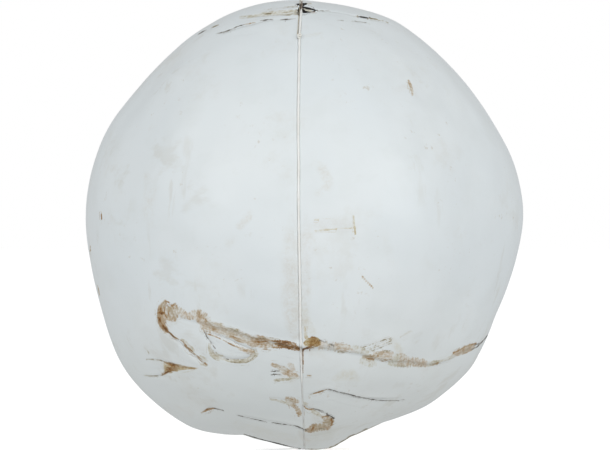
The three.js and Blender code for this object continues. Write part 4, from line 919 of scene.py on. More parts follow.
def cover_half(name, side):
    arcs = [1.7, 2.4, 3.4, 4.6]
    while arcs[-1] < 172:
        arcs.append(arcs[-1] + 1.3)
    while arcs[-1] < 263:
        arcs.append(arcs[-1] + 2.6)
    lat = np.radians(np.array(arcs) / 170 * 180 / math.pi)
    verts, rings, count = [], [], 0
    fields = {k: [] for k in FIELDS}

    def add(points, given=None):
        nonlocal count
        verts.append(points)
        count += len(points)
        for k in FIELDS:
            if given is not None:
                fields[k].append(given[k])
            else:
                fill = 6.0 if k in ("smear_d", "mark_d") else 1.0 if k in ("smear_h", "mark_h", "lip") else 0.0
                fields[k].append(np.full(len(points), fill))
        return np.arange(count - len(points), count)

    # outer surface, from the pole to the seam
    dirs, spans = [np.array([[float(side), 0.0, 0.0]])], []
    for x in lat[::-1]:
        rho = 170 * math.cos(x)
        cols = COLS[::8 if rho < 14 else 4 if rho < 34 else 2 if rho < 78 else 1]
        spans.append(cols)
        dirs.append(direction(side * math.sin(x), cols))
    spans.append(COLS)
    lip_at = LIP_X - (0.09 if side > 0 else 0.0)
    lip_x = lip_at - CLOSE * sunk(COLS) - SLIM * slender(COLS)
    dirs.append(direction(side * lip_x / NOMINAL_R, COLS))
    d = np.concatenate(dirs)
    q = d * slack_radius(d)[:, None]
    sharp, near, strength = sharp_fold(q)
    move = broad_fold(q) + sharp + seam_bumps(d, side)
    edge_move = move[-len(COLS):].copy()
    # the cover rolls over into the seam
    x = np.abs(d[:, 0]) * NOMINAL_R
    buried = sunk(np.degrees(np.arctan2(d[:, 2], d[:, 1])))
    over = np.maximum(x - lip_at + CLOSE * buried + SLIM * slender(np.degrees(np.arctan2(d[:, 2], d[:, 1]))), 0)
    dip = 0.24 if side < 0 else 0.18
    move = move - (dip - 0.12 * buried) * np.exp(-over / 0.6)
    p = d * (slack_radius(d) + move)[:, None]
    found = mark_fields(p)
    p[:, 0] += drift(p[:, 2])
    p[:, 2] = np.maximum(p[:, 2], -CENTRE_HEIGHT)
    found.update(fold_d=near, fold_a=strength, lip=np.exp(-over / 0.5))
    add(p + CENTRE, found)
    start = 1
    for cols in spans:
        rings.append((np.arange(start, start + len(cols)), cols))
        start += len(cols)
    edge_fields = {k: fields[k][0][-len(COLS):] for k in FIELDS}

    # groove, flange and inner surface
    def seam_ring(x_abs, depth, cols, mv):
        a = np.radians(cols)
        x_abs = np.broadcast_to(x_abs, a.shape)
        rho = np.sqrt((NOMINAL_R - depth) ** 2 - x_abs ** 2)
        nominal = np.stack([side * x_abs, rho * np.cos(a), rho * np.sin(a)], 1)
        r = np.linalg.norm(nominal, axis=1)
        dd = nominal / r[:, None]
        out = dd * (slack_radius(dd) - depth + mv * math.exp(-max(depth, 0) / 22.0))[:, None]
        out[:, 0] = side * x_abs
        out[:, 0] += drift(out[:, 2])
        out[:, 2] = np.maximum(out[:, 2], depth - CENTRE_HEIGHT)
        return out + CENTRE

    for x_abs, depth in ((lip_x - 0.06, 0.70), (np.minimum(0.86, lip_x + 0.1), 1.25), (np.minimum(FLANGE_IN_X, lip_x + 0.2), 2.0)):
        rings.append((add(seam_ring(x_abs, depth, COLS, edge_move), edge_fields), COLS))
    for x_abs, depth in ((FLANGE_IN_X, FLANGE_DEPTH), (FLANGE_OUT_X, FLANGE_DEPTH), (FLANGE_OUT_X, 3.0), (3.2, COVER_T)):
        rings.append((add(seam_ring(x_abs, depth, COARSE, edge_move[::4])), COARSE))
    for x in np.radians(np.concatenate([[2.3], np.arange(4, 88, 3.0)])):
        cols = COARSE[::4 if math.cos(x) * 170 < 25 else 2 if math.cos(x) * 170 < 60 else 1]
        rings.append((add(settle(direction(side * math.sin(x), cols) * (NOMINAL_R - COVER_T))), cols))
    inner_pole = add(settle(np.array([[side * (NOMINAL_R - COVER_T), 0, 0]])))[0]
    faces = ring_mesh(rings, cap_start=0, cap_end=int(inner_pole))
    obj = new_object(name, np.concatenate(verts), [tuple(int(i) for i in f) for f in faces])
    for k in FIELDS:
        attribute(obj, k, np.concatenate(fields[k]))
    face_out(obj)
    print(name, "triangles", sum(len(f) - 2 for f in faces))
    return obj


# --------------------------------------------------------------------- materials
def node_tree(name):
    mat = bpy.data.materials.new(name)
    mat.use_nodes = True
    nt = mat.node_tree
    nt.nodes.clear()
    return mat, nt


class Graph:
    """Short hand for wiring shader nodes."""

    def __init__(self, name):
        self.mat, self.nt = node_tree(name)
        self.out = self.nt.nodes.new("ShaderNodeOutputMaterial")
        self.bsdf = self.nt.nodes.new("ShaderNodeBsdfPrincipled")
        self.nt.links.new(self.bsdf.outputs[0], self.out.inputs[0])
        self.coord = self.nt.nodes.new("ShaderNodeTexCoord").outputs["Object"]

    def plug(self, socket, value):
        if isinstance(value, bpy.types.NodeSocket):
            self.nt.links.new(value, socket)
        elif isinstance(value, (tuple, list)) and len(value) == 3 and len(socket.default_value) == 4:
            socket.default_value = (*value, 1)
        else:
            socket.default_value = value

    def attr(self, name):
        n = self.nt.nodes.new("ShaderNodeAttribute")
        n.attribute_name = name
        return n.outputs["Fac"]

    def math(self, op, a, b=0.0, c=0.0, clamp=False):
        n = self.nt.nodes.new("ShaderNodeMath")
        n.operation = op
        n.use_clamp = clamp
        for s, v in zip(n.inputs, (a, b, c)):
            self.plug(s, v)
        return n.outputs[0]

    def noise(self, scale, detail=3.0, rough=0.55, at=None, distortion=0.0):
        n = self.nt.nodes.new("ShaderNodeTexNoise")
        self.plug(n.inputs["Vector"], at or self.coord)
        n.inputs["Scale"].default_value = scale
        n.inputs["Detail"].default_value = detail
        n.inputs["Roughness"].default_value = rough
        n.inputs["Distortion"].default_value = distortion
        return n.outputs["Fac"]

    def voronoi(self, scale, at=None, feature="F1"):
        n = self.nt.nodes.new("ShaderNodeTexVoronoi")
        n.feature = feature
        self.plug(n.inputs["Vector"], at or self.coord)
        n.inputs["Scale"].default_value = scale
        return n.outputs["Distance"]

    def step(self, value, low, high, to_low=0.0, to_high=1.0):
        n = self.nt.nodes.new("ShaderNodeMapRange")
        n.interpolation_type = "SMOOTHSTEP"
        self.plug(n.inputs[0], value)
        for s, v in zip(n.inputs[1:5], (low, high, to_low, to_high)):
            s.default_value = v
        return n.outputs[0]

    def mix(self, fac, a, b, blend="MIX"):
        n = self.nt.nodes.new("ShaderNodeMix")
        n.data_type = "RGBA"
        n.blend_type = blend
        self.plug(n.inputs[0], fac)
        self.plug(n.inputs[6], a)
        self.plug(n.inputs[7], b)
        return n.outputs[2]

    def stretch(self, x, y, z, at=None):
        n = self.nt.nodes.new("ShaderNodeMapping")
        self.plug(n.inputs["Vector"], at or self.coord)
        n.inputs["Scale"].default_value = (x, y, z)
        return n.outputs[0]

    def turn(self, rx, ry, rz, scale=(1, 1, 1)):
        n = self.nt.nodes.new("ShaderNodeMapping")
        self.plug(n.inputs["Vector"], self.coord)
        n.inputs["Rotation"].default_value = (rx, ry, rz)
        n.inputs["Scale"].default_value = scale
        return n.outputs[0]

    def xyz(self, x, y, z=0.0):
        n = self.nt.nodes.new("ShaderNodeCombineXYZ")
        for s, v in zip(n.inputs, (x, y, z)):
            self.plug(s, v)
        return n.outputs[0]

    def split(self, vector):
        n = self.nt.nodes.new("ShaderNodeSeparateXYZ")
        self.plug(n.inputs[0], vector)
        return n.outputs

    def bump(self, height, distance, strength=1.0, normal=None):
        n = self.nt.nodes.new("ShaderNodeBump")
        n.inputs["Strength"].default_value = strength
        n.inputs["Distance"].default_value = distance
        self.plug(n.inputs["Height"], height)
        if normal is not None:
            self.plug(n.inputs["Normal"], normal)
        return n.outputs[0]

    def color(self, value):
        self.plug(self.bsdf.inputs["Base Color"], value)

    def rough(self, value):
        self.plug(self.bsdf.inputs["Roughness"], value)

    def normal(self, value):
        self.plug(self.bsdf.inputs["Normal"], value)


def cover_material(name):
    g = Graph(name)
    stain, ochre = g.attr("stain"), g.attr("ochre")
    fold_d, fold_a, lip = g.attr("fold_d"), g.attr("fold_a"), g.attr("lip")
    x, y, z = g.split(g.coord)

    # white finish, a little uneven
    base = g.mix(g.step(g.noise(9, 3), 0.3, 0.7), (0.735, 0.792, 0.815), (0.760, 0.808, 0.822))
    base = g.mix(g.math("MULTIPLY", g.step(g.noise(34, 4, 0.6), 0.46, 0.72), 0.25), base, (0.680, 0.728, 0.728))
    # handled dirt, more of it low down
    # darker and greener towards the bottom
    low = g.step(z, 0.135, 0.0)
    base = g.mix(g.math("MULTIPLY", low, 0.32), base, (0.660, 0.675, 0.610))

    # faint scuffs: rubs that run two ways, smudges and flecks
    up = g.noise(42, 4, 0.6, at=g.turn(0.25, 0.1, 0.2, (1.0, 1.0, 0.16)))
    level = g.noise(38, 4, 0.6, at=g.turn(-0.1, 0.35, 0.1, (0.16, 1.0, 1.0)))
    slant = g.noise(70, 5, 0.65, at=g.turn(0.0, 0.75, 0.0, (1.0, 1.0, 0.12)))
    where = g.step(g.noise(13, 3, 0.6), 0.47, 0.62)
    rub = g.math("MAXIMUM", g.step(up, 0.575, 0.68), g.math("MAXIMUM", g.step(level, 0.585, 0.69), g.step(slant, 0.60, 0.70)))
    rub = g.math("MULTIPLY", rub, where)
    base = g.mix(g.math("MULTIPLY", rub, 0.26), base, (0.540, 0.520, 0.445))
    smudge = g.step(g.noise(19, 5, 0.68), 0.55, 0.72)
    base = g.mix(g.math("MULTIPLY", smudge, 0.22), base, (0.590, 0.575, 0.510))
    fleck = g.math("MULTIPLY", g.step(g.noise(160, 4, 0.7), 0.62, 0.72), g.step(g.noise(21, 2), 0.48, 0.62))
    base = g.mix(g.math("MULTIPLY", fleck, 0.40), base, (0.470, 0.400, 0.290))

    # noise that runs along or across a mark
    crumb = g.noise(560, 3, 0.62)
    blotch = g.noise(150, 4, 0.6)
    grit = g.math("ADD", g.math("MULTIPLY", g.math("SUBTRACT", crumb, 0.5), 1.15),
                  g.math("MULTIPLY", g.math("SUBTRACT", blotch, 0.5), 1.4))

    def ragged(layer, seed):
        d, u = g.attr(layer + "_d"), g.attr(layer + "_u")
        run_along = g.xyz(g.math("MULTIPLY", u, 0.13), g.math("MULTIPLY", d, 0.95), seed)
        run_across = g.xyz(g.math("MULTIPLY", u, 0.80), g.math("MULTIPLY", d, 0.12), seed + 5.0)
        pick = g.nt.nodes.new("ShaderNodeMix")
        pick.data_type = "VECTOR"
        g.plug(pick.inputs[0], g.attr(layer + "_x"))
        g.plug(pick.inputs[4], run_along)
        g.plug(pick.inputs[5], run_across)
        streak = g.noise(1.0, 4, 0.62, at=pick.outputs[1])
        e = g.math("SUBTRACT", 1.0, g.math("DIVIDE", g.math("ABSOLUTE", d), g.attr(layer + "_h")))
        return g.math("ADD", grit, g.math("MULTIPLY", g.math("SUBTRACT", streak, 0.5), 1.5)), e

    # soft stains
    wisp = g.math("ADD", grit, g.math("MULTIPLY", g.math("SUBTRACT", g.noise(36, 5, 0.65), 0.5), 2.2))
    soft = g.math("ADD", stain, g.math("MULTIPLY", wisp, g.math("MULTIPLY", stain, 1.3)))
    base = g.mix(g.step(soft, 0.02, 0.75, 0.0, 0.62), base, (0.560, 0.505, 0.410))
    soft = g.math("ADD", ochre, g.math("MULTIPLY", grit, g.math("MULTIPLY", ochre, 1.2)))
    base = g.mix(g.step(soft, 0.04, 0.75, 0.0, 0.62), base, (0.560, 0.510, 0.350))

    # broad smears: pale, pinkish or olive, with grains of brown
    rag, e = ragged("smear", 0.0)
    k = g.attr("smear_k")
    frayed = g.math("ADD", e, g.math("MULTIPLY", rag, 0.45))
    cover = g.math("MULTIPLY", g.step(frayed, -0.38, 0.30), g.math("ADD", 0.40, g.math("MULTIPLY", k, 0.52)))
    cover = g.math("ADD", cover, g.math("MULTIPLY", rag, g.step(e, -0.5, 0.1, 0.0, 0.55)))
    smear = g.math("MULTIPLY", g.step(cover, 0.12, 0.78), g.step(k, 0.12, 0.35))
    tone = g.math("ADD", k, g.math("SUBTRACT", g.math("MULTIPLY", rag, 0.80), 0.05))
    hue = g.step(g.noise(75, 3, 0.6), 0.42, 0.60)
    pale = g.mix(hue, (0.565, 0.508, 0.405), (0.575, 0.498, 0.392))
    deep = g.mix(hue, (0.415, 0.342, 0.225), (0.440, 0.328, 0.205))
    pale = g.mix(g.attr("smear_g"), pale, (0.560, 0.535, 0.430))
    deep = g.mix(g.attr("smear_g"), deep, (0.385, 0.350, 0.240))
    pale = g.mix(g.attr("smear_o"), pale, (0.580, 0.515, 0.350))
    deep = g.mix(g.attr("smear_o"), deep, (0.420, 0.320, 0.150))
    c = g.mix(g.step(tone, 0.38, 0.92), pale, deep)
    spot = g.math("MULTIPLY", g.step(g.noise(420, 3, 0.6), 0.53, 0.66), g.step(tone, 0.45, 0.95, 0.08, 0.70))
    c = g.mix(spot, c, (0.290, 0.165, 0.075))
    base = g.mix(g.math("MULTIPLY", smear, g.step(tone, 0.10, 0.70, 0.45, 0.97)), base, c)

    # worn lines over them
    rag, e = ragged("mark", 9.0)
    k = g.attr("mark_k")
    is_ochre, is_black, is_olive = g.attr("mark_o"), g.attr("mark_b"), g.attr("mark_g")
    frayed = g.math("ADD", e, g.math("MULTIPLY", rag, 0.6))
    cover = g.math("MULTIPLY", g.step(frayed, -0.30, 0.40), g.math("ADD", g.math("MULTIPLY", is_black, 0.20), g.math("ADD", 0.24, g.math("MULTIPLY", k, 0.50))))
    cover = g.math("ADD", cover, g.math("MULTIPLY", rag, g.step(e, -0.55, 0.3, 0.0, 0.95)))
    mask = g.math("MULTIPLY", g.step(cover, 0.24, 0.68), g.step(k, 0.12, 0.35))
    tone = g.math("ADD", k, g.math("ADD", g.math("MULTIPLY", rag, 1.10), g.step(e, 0.1, 0.9, -0.08, 0.05)))
    c = g.mix(g.step(tone, 0.45, 0.86), (0.525, 0.455, 0.345), (0.405, 0.292, 0.172))
    c = g.mix(g.step(tone, 0.84, 1.10), c, (0.300, 0.155, 0.048))
    c = g.mix(g.step(tone, 1.10, 1.42), c, (0.125, 0.050, 0.015))
    cg = g.mix(g.step(tone, 0.45, 0.86), (0.520, 0.490, 0.395), (0.345, 0.310, 0.215))
    cg = g.mix(g.step(tone, 0.86, 1.20), cg, (0.165, 0.135, 0.070))
    c = g.mix(is_olive, c, cg)
    co = g.mix(g.step(tone, 0.50, 0.92), (0.545, 0.455, 0.265), (0.395, 0.265, 0.110))
    co = g.mix(g.step(tone, 0.92, 1.25), co, (0.225, 0.115, 0.032))
    co = g.mix(g.step(g.noise(520, 3, 0.6), 0.53, 0.64, 0.0, 0.8), co, (0.270, 0.150, 0.050))
    c = g.mix(is_ochre, c, co)
    # black marks: painted shadow in the fold at the top, painted shade along the underside's edge and, with dirt, along
    # the top creases; dirt lines elsewhere
    cb = g.mix(g.step(tone, 0.45, 0.90), (0.400, 0.395, 0.370), (0.175, 0.165, 0.145))
    cb = g.mix(g.step(tone, 0.90, 1.08), cb, (0.006, 0.005, 0.004))
    c = g.mix(is_black, c, cb)
    full = g.math("ADD", g.step(tone, 0.20, 0.85, 0.40, 0.97), g.math("MULTIPLY", is_black, 0.03))
    base = g.mix(g.math("MULTIPLY", mask, full), base, c)
    mask = g.math("MAXIMUM", mask, g.math("MULTIPLY", smear, 0.6))

    # a hair line of grime in the bottom of each groove, and painted shade in the seam where the cover rolls in
    hair = g.math("MULTIPLY", g.step(g.math("ABSOLUTE", fold_d), 0.6, 0.05), g.step(fold_a, 0.25, 0.9))
    hair = g.math("MULTIPLY", hair, g.step(blotch, 0.34, 0.60, 0.25, 1.0))
    base = g.mix(g.math("MULTIPLY", hair, 0.35), base, (0.270, 0.235, 0.185))
    seam_groove_painted_shade = g.math("MULTIPLY", g.step(lip, 0.45, 1.0), g.step(g.noise(70, 4, 0.65), 0.40, 0.68, 0.10, 0.8))
    base = g.mix(g.math("MULTIPLY", seam_groove_painted_shade, 0.42), base, (0.480, 0.430, 0.350))
    g.color(base)

    dark = g.math("MULTIPLY", mask, g.step(tone, 0.6, 1.0))
    r = g.math("ADD", g.step(g.noise(21, 3), 0.3, 0.7, 0.40, 0.50), g.math("MULTIPLY", mask, 0.12))
    r = g.math("ADD", r, g.math("MULTIPLY", dark, 0.18))
    g.rough(g.math("ADD", r, g.math("MULTIPLY", rub, 0.10)))
    g.bsdf.inputs["Specular IOR Level"].default_value = 0.34

    grain = g.voronoi(1150, feature="SMOOTH_F1")
    pore = g.noise(2600, 2, 0.5)
    fine = g.math("ADD", g.math("MULTIPLY", grain, 0.7), g.math("MULTIPLY", pore, 0.3))
    n1 = g.bump(fine, 0.00006, 0.35)
    groove = g.math("MULTIPLY", g.step(g.math("ABSOLUTE", fold_d), 0.9, 0.0), g.step(fold_a, 0.1, 0.9))
    n2 = g.bump(g.math("SUBTRACT", 1.0, groove), 0.0004, 0.7, n1)
    flake = g.math("MULTIPLY", mask, g.math("ADD", 0.5, rag))
    n3 = g.bump(g.math("SUBTRACT", 1.0, flake), 0.00014, 0.8, n2)
    n4 = g.bump(g.noise(60, 3, 0.5), 0.0009, 0.20, n3)
    g.normal(n4)
    return g.mat


def welt_material(name):
    g = Graph(name)
    base = g.mix(g.step(g.noise(90, 4, 0.6), 0.35, 0.7), (0.880, 0.895, 0.880), (0.835, 0.840, 0.805))
    welt_dirt_and_shade = g.attr("welt_dirt_and_shade")
    spot = g.step(g.noise(240, 3, 0.6), 0.56, 0.74)
    base = g.mix(g.math("MULTIPLY", spot, 0.22), base, (0.58, 0.52, 0.42))
    # the welt's dirt, with painted shade on its sunken sides and painted shadow in the top fold
    ragged = g.math("ADD", welt_dirt_and_shade, g.math("MULTIPLY", g.math("SUBTRACT", g.noise(420, 3, 0.6), 0.5), g.math("MULTIPLY", welt_dirt_and_shade, 1.6)))
    base = g.mix(g.step(ragged, 0.08, 0.9, 0.0, 0.95), base, (0.170, 0.105, 0.055))
    g.color(base)
    g.rough(g.step(g.noise(60, 3), 0.3, 0.7, 0.46, 0.62))
    g.bsdf.inputs["Specular IOR Level"].default_value = 0.4
    g.normal(g.bump(g.noise(1500, 3, 0.6), 0.0001, 0.5))
    return g.mat


def weave_material(name, dark, light, pitch, rough=0.88, depth=0.00025):
    """Plain woven cloth: two crossed sets of threads, in object space."""
    g = Graph(name)
    x, y, z = g.split(g.coord)
    f = 2 * math.pi / pitch
    a = g.math("SINE", g.math("MULTIPLY", g.math("ADD", x, g.math("MULTIPLY", z, 0.35)), f))
    b = g.math("SINE", g.math("MULTIPLY", g.math("ADD", y, g.math("MULTIPLY", z, 0.93)), f))
    weave = g.math("MULTIPLY", a, b)
    tone = g.step(weave, -0.9, 0.9)
    slub = g.noise(60, 4, 0.6)
    c = g.mix(tone, dark, light)
    c = g.mix(g.math("MULTIPLY", g.step(slub, 0.4, 0.7), 0.3), c, tuple(0.72 * k for k in dark))
    g.color(c)
    g.rough(rough)
    g.bsdf.inputs["Specular IOR Level"].default_value = 0.2
    g.normal(g.bump(weave, depth, 0.6))
    return g.mat


def fibre_material(name):
    g = Graph(name)
    n1 = g.noise(140, 8, 0.7, distortion=1.6)
    n2 = g.noise(420, 6, 0.7, at=g.turn(0.3, 0.8, 0.2, (1, 4, 1)), distortion=2.0)
    c = g.mix(g.step(n1, 0.35, 0.68), (0.235, 0.215, 0.185), (0.43, 0.40, 0.35))
    c = g.mix(g.math("MULTIPLY", g.step(n2, 0.5, 0.7), 0.5), c, (0.56, 0.53, 0.47))
    g.color(c)
    g.rough(0.97)
    g.bsdf.inputs["Specular IOR Level"].default_value = 0.1
    g.normal(g.bump(g.math("ADD", n1, n2), 0.0011, 0.7))
    return g.mat


def twist_material(name, dark, light, scale=900):
    g = Graph(name)
    lay = g.noise(scale, 4, 0.6, at=g.turn(0.6, 0.6, 0.0, (1, 1, 3)))
    g.color(g.mix(g.step(lay, 0.35, 0.65), dark, light))
    g.rough(g.step(lay, 0.3, 0.7, 0.62, 0.82))
    g.normal(g.bump(lay, 0.00012, 0.7))
    return g.mat


def grain_material(name):
    g = Graph(name)
    cell = g.voronoi(520)
    tone = g.noise(300, 4, 0.6)
    c = g.mix(g.step(tone, 0.35, 0.65), (0.30, 0.22, 0.135), (0.47, 0.37, 0.24))
    c = g.mix(g.step(cell, 0.30, 0.62), c, (0.11, 0.08, 0.05))
    g.color(c)
    g.rough(0.9)
    g.normal(g.bump(g.math("SUBTRACT", 1.0, cell), 0.0008, 0.8))
    return g.mat


# ------------------------------------------------------------------- other pieces
def turned_rings(profile, cols, closed, fold=True, trim=False, wobble=None):
    """A profile of (x, radius) points turned round the seam axis, settled."""
    rings, verts = [], []
    n = 0
    for i, (x, radius) in enumerate(profile):
        if radius < 1e-6:
            verts.append(settle(np.array([[x, 0, 0]]), fold, trim))
            rings.append(("pole", n))
            n += 1
            continue
        a = np.radians(cols)
        xs = np.full(len(cols), x)
        rs = np.full(len(cols), radius)
        if wobble is not None:
            dx, dr = wobble(i, cols)
            xs, rs = xs + dx, rs + dr
        verts.append(settle(np.stack([xs, rs * np.cos(a), rs * np.sin(a)], 1), fold, trim))
        rings.append((np.arange(n, n + len(cols)), cols))
        n += len(cols)
    start = end = None
    body = rings
    if not closed:
        if isinstance(body[0][0], str):
            start = body[0][1]
            body = body[1:]
        if isinstance(body[-1][0], str):
            end = body[-1][1]
            body = body[:-1]
    else:
        body = body + [body[0]]
    faces = ring_mesh(body, cap_start=start, cap_end=end)
    return np.concatenate(verts), [tuple(int(k) for k in f) for f in faces]


def below(x, depth):
    return (x, math.sqrt((NOMINAL_R - depth) ** 2 - x * x))


RINGS = np.concatenate([np.arange(88, 3, -3.0), [2.3]])


def ring_point(side, angle, radius):
    return (side * radius * math.sin(math.radians(angle)), radius * math.cos(math.radians(angle)))


SHELL_COLS = np.linspace(90, 450, 144, endpoint=False)


def lining_half(name, side):
    top, bottom = NOMINAL_R - LINING_TOP, NOMINAL_R - LINING_BOTTOM
    profile = [(side * bottom, 0.0)] + [ring_point(side, a, bottom) for a in RINGS]
    profile += [below(side * LINING_EDGE_X, LINING_BOTTOM), below(side * LINING_EDGE_X, LINING_TOP)]
    profile += [ring_point(side, a, top) for a in RINGS[::-1]] + [(side * top, 0.0)]
    return face_out(new_object(name, *turned_rings(profile, SHELL_COLS, False)))


def padding_half(name, side):
    top = NOMINAL_R - PAD_TOP
    inner = [4, 12, 20, 28, 36, 44, 52, 60, 68, 76, 84]
    profile = [(side * top, 0.0)] + [ring_point(side, a, top) for a in RINGS]
    profile += [below(side * PAD_EDGE_X, PAD_TOP), below(side * PAD_EDGE_X, 9.0), below(side * PAD_EDGE_X, PAD_RELIEF)]
    profile += [(side * PAD_FACE_X, r) for r in (155.2, 143, 130, 118, SHIFT_FULL_R, 94, PAD_INNER_R)]
    profile += [ring_point(side, a, PAD_INNER_R) for a in inner] + [(side * PAD_INNER_R, 0.0)]
    verts, faces = turned_rings(profile, SHELL_COLS, False)
    obj = face_out(new_object(name, verts, faces))
    # room for the bag's neck
    bpy.ops.mesh.primitive_cylinder_add(vertices=48, radius=NECK_RECESS_R * 0.001, depth=(NECK_RECESS_TOP - 55) * 0.001,
                                        location=tuple((CORE + [0, 0, (NECK_RECESS_TOP + 55) / 2]) * 0.001))
    tool = bpy.context.object
    mod = obj.modifiers.new("neck", "BOOLEAN")
    mod.operation, mod.object, mod.solver = "DIFFERENCE", tool, "EXACT"
    bpy.context.view_layer.objects.active = obj
    bpy.ops.object.modifier_apply(modifier="neck")
    bpy.data.objects.remove(tool)
    # tufts: the packed fibre is never smooth
    co = np.array([v.co for v in obj.data.vertices]) * 1000 - CENTRE
    r = np.linalg.norm(co, axis=1)
    rng = np.random.RandomState(7 if side < 0 else 8)
    tuft = np.zeros(len(co))
    for _ in range(26):
        k = rng.normal(size=3)
        k *= 2 * math.pi / rng.uniform(14, 34) / np.linalg.norm(k)
        tuft += np.sin(co @ k + rng.uniform(0, 6.28))
    tuft = tuft / 26 ** 0.5
    shrink = np.clip(0.45 + 0.32 * tuft, 0, 1.1)
    outer = smooth01((r - 150) / 8)
    co -= co / r[:, None] * (shrink * outer)[:, None]
    obj.data.vertices.foreach_set("co", ((co + CENTRE) * 0.001).astype(np.float32).ravel())
    obj.data.update()
    obj.data.shade_smooth()
    return obj


def welt():
    cols = np.linspace(90, 450, 960, endpoint=False)
    rng = np.random.RandomState(5)
    ph = rng.uniform(0, 2 * math.pi, 12)
    freq = np.array([7, 11, 17, 23, 37, 53, 71, 97, 131, 173, 211, 263])
    profile = [(TONGUE_HALF, NOMINAL_R - TONGUE_DEPTH), (TONGUE_HALF, NOMINAL_R - 6), (TONGUE_HALF, NOMINAL_R - 1.2)]
    for a in (150, 125, 100, 75, 50, 25, 0, -25, -50, -75, -100, -125, -150):
        s = math.radians(a)
        profile.append((BEAD_R * math.sin(s), NOMINAL_R + BEAD_R * math.cos(s)))
    profile += [(-TONGUE_HALF, NOMINAL_R - 1.2), (-TONGUE_HALF, NOMINAL_R - 6), (-TONGUE_HALF, NOMINAL_R - TONGUE_DEPTH)]
    mid = np.radians(cols)

    def wobble(i, c):
        x, r = profile[i]
        w = np.zeros(len(c))
        v = np.zeros(len(c))
        for f, p in zip(freq[4:], ph[4:]):
            w += np.sin(mid * f + p) * 0.022
            v += np.sin(mid * f * 1.13 + p * 2.1) * 0.018
        bead = 1.0 if r > NOMINAL_R - 1.0 else 0.0
        # small swellings in the strip, one just below the hand-closed end, and a pinch at the main fold
        swell = 0.10 * np.exp(-((c - SLIT_FRONT - 2.2) / 0.7) ** 2) + 0.10 * np.exp(-((c - 172.0) / 0.7) ** 2)
        swell += 0.12 * np.exp(-((c - CROSSING + 1.8) / 0.8) ** 2)
        pinch = 0.30 * np.exp(-((c - CROSSING) / 0.55) ** 2)
        deep = sunk(c)
        k = (w + swell - pinch - 0.07 - SLIM / BEAD_R * slender(c) - CLOSE / BEAD_R * deep) * bead
        lift = (r - NOMINAL_R) * k + v * bead - (0.22 + 0.16 * deep) * bead
        lift = lift - 0.35 * np.exp(-((c - CROSSING) / 0.5) ** 2) * bead
        return x * k + v * 0.3 * bead, lift

    verts, faces = turned_rings(profile, cols, True, True, True, wobble)
    obj = face_out(new_object("welt", verts, faces))
    n = len(cols)
    welt_dirt_and_shade = np.zeros(len(verts))
    for i, (x, r) in enumerate(profile):
        low = 1 - smooth01((r - (NOMINAL_R - 0.1)) / 0.6)
        # painted shade: the welt is darker where it lies below the cover's surface
        line = 0.16 * low
        at = cols
        # dirt where the main fold crosses and in the groove below the crossing; painted shadow at the top fold and
        # where it swallows the welt
        cross = np.exp(-((at - CROSSING) / 0.50) ** 2) * (0.75 + 0.25 * low)
        top = np.exp(-((at - TOP_FOLD + 0.6) / 1.3) ** 2) * (0.10 + 0.8 * low)
        swallowed = smooth01((at - 99) / 4) * smooth01((TOP_FOLD - 0.6 - at) / 1.2)
        right = smooth01((x - 0.35) / 0.4) * smooth01((at - CROSSING) / 0.8) * smooth01((CROSSING + 8.4 - at) / 2.0)
        welt_dirt_and_shade[i * n:(i + 1) * n] = np.clip(line + 0.75 * cross + 0.8 * top + 0.45 * right + 0.8 * swallowed, 0, 0.95)
    attribute(obj, "welt_dirt_and_shade", welt_dirt_and_shade)
    return obj


def tube(name, path, radius, sides=8, flat=1.0, capped=True):
    """A tube along points in the row frame, mm."""
    path = np.asarray(path, float)
    tangent = np.gradient(path, axis=0)
    tangent /= np.linalg.norm(tangent, axis=1)[:, None]
    out = path - CENTRE
    out -= (out * tangent).sum(1)[:, None] * tangent
    out /= np.linalg.norm(out, axis=1)[:, None]
    side = np.cross(tangent, out)
    verts, n = [], len(path)
    ang = np.arange(sides) * 2 * math.pi / sides
    for k in range(n):
        r = radius if np.isscalar(radius) else radius[k]
        verts.append(path[k] + r * (np.cos(ang)[:, None] * out[k] * flat + np.sin(ang)[:, None] * side[k]))
    verts = np.concatenate(verts)
    faces = []
    for k in range(n - 1):
        for s in range(sides):
            a, b = k * sides + s, k * sides + (s + 1) % sides
            faces.append((a, b, b + sides, a + sides))
    faces.append(tuple(range(sides))[::-1])
    faces.append(tuple(range((n - 1) * sides, n * sides)))
    return face_out(new_object(name, verts, faces))


def seam_path(x, depth, cols, trim=False):
    a = np.radians(cols)
    x = np.broadcast_to(x, a.shape)
    depth = np.broadcast_to(depth, a.shape)
    r = NOMINAL_R - depth
    return settle(np.stack([x, r * np.cos(a), r * np.sin(a)], 1), True, trim)


def stitch_thread(name, side):
    """One thread of the seam: long stitches that dip into the flange at each hole."""
    start, end = SLIT_FRONT + 1.2, 360 + SLIT_BACK - 1
    pitch = 1.5                                             # degrees, about 4.3 mm
    cols = np.arange(start, end, pitch / 6)
    phase = (cols - start) / pitch * 2 * math.pi
    dip = 0.5 - 0.5 * np.cos(phase)
    x = side * (STITCH_X - 0.16 + 0.16 * dip)
    return tube(name, seam_path(x, STITCH_DEPTH, cols), STITCH_R * (0.80 + 0.20 * dip), sides=6)


def closing_thread():
    """Ladder stitches drawn into the groove left of the welt."""
    cols = np.arange(SLIT_BACK + 1, SLIT_FRONT - 1.1, 0.16)
    phase = (cols - SLIT_BACK) / 1.45 * 2 * math.pi
    bulge = np.abs(np.sin(phase / 2)) ** 0.8
    x = CLOSING_X - 0.10 + 0.16 * bulge
    depth = -(CLOSING_PROUD - 0.16 + 0.16 * bulge)
    return tube("closing_stitches", seam_path(x, depth, cols, True), CLOSING_R * (0.82 + 0.18 * bulge), sides=8)


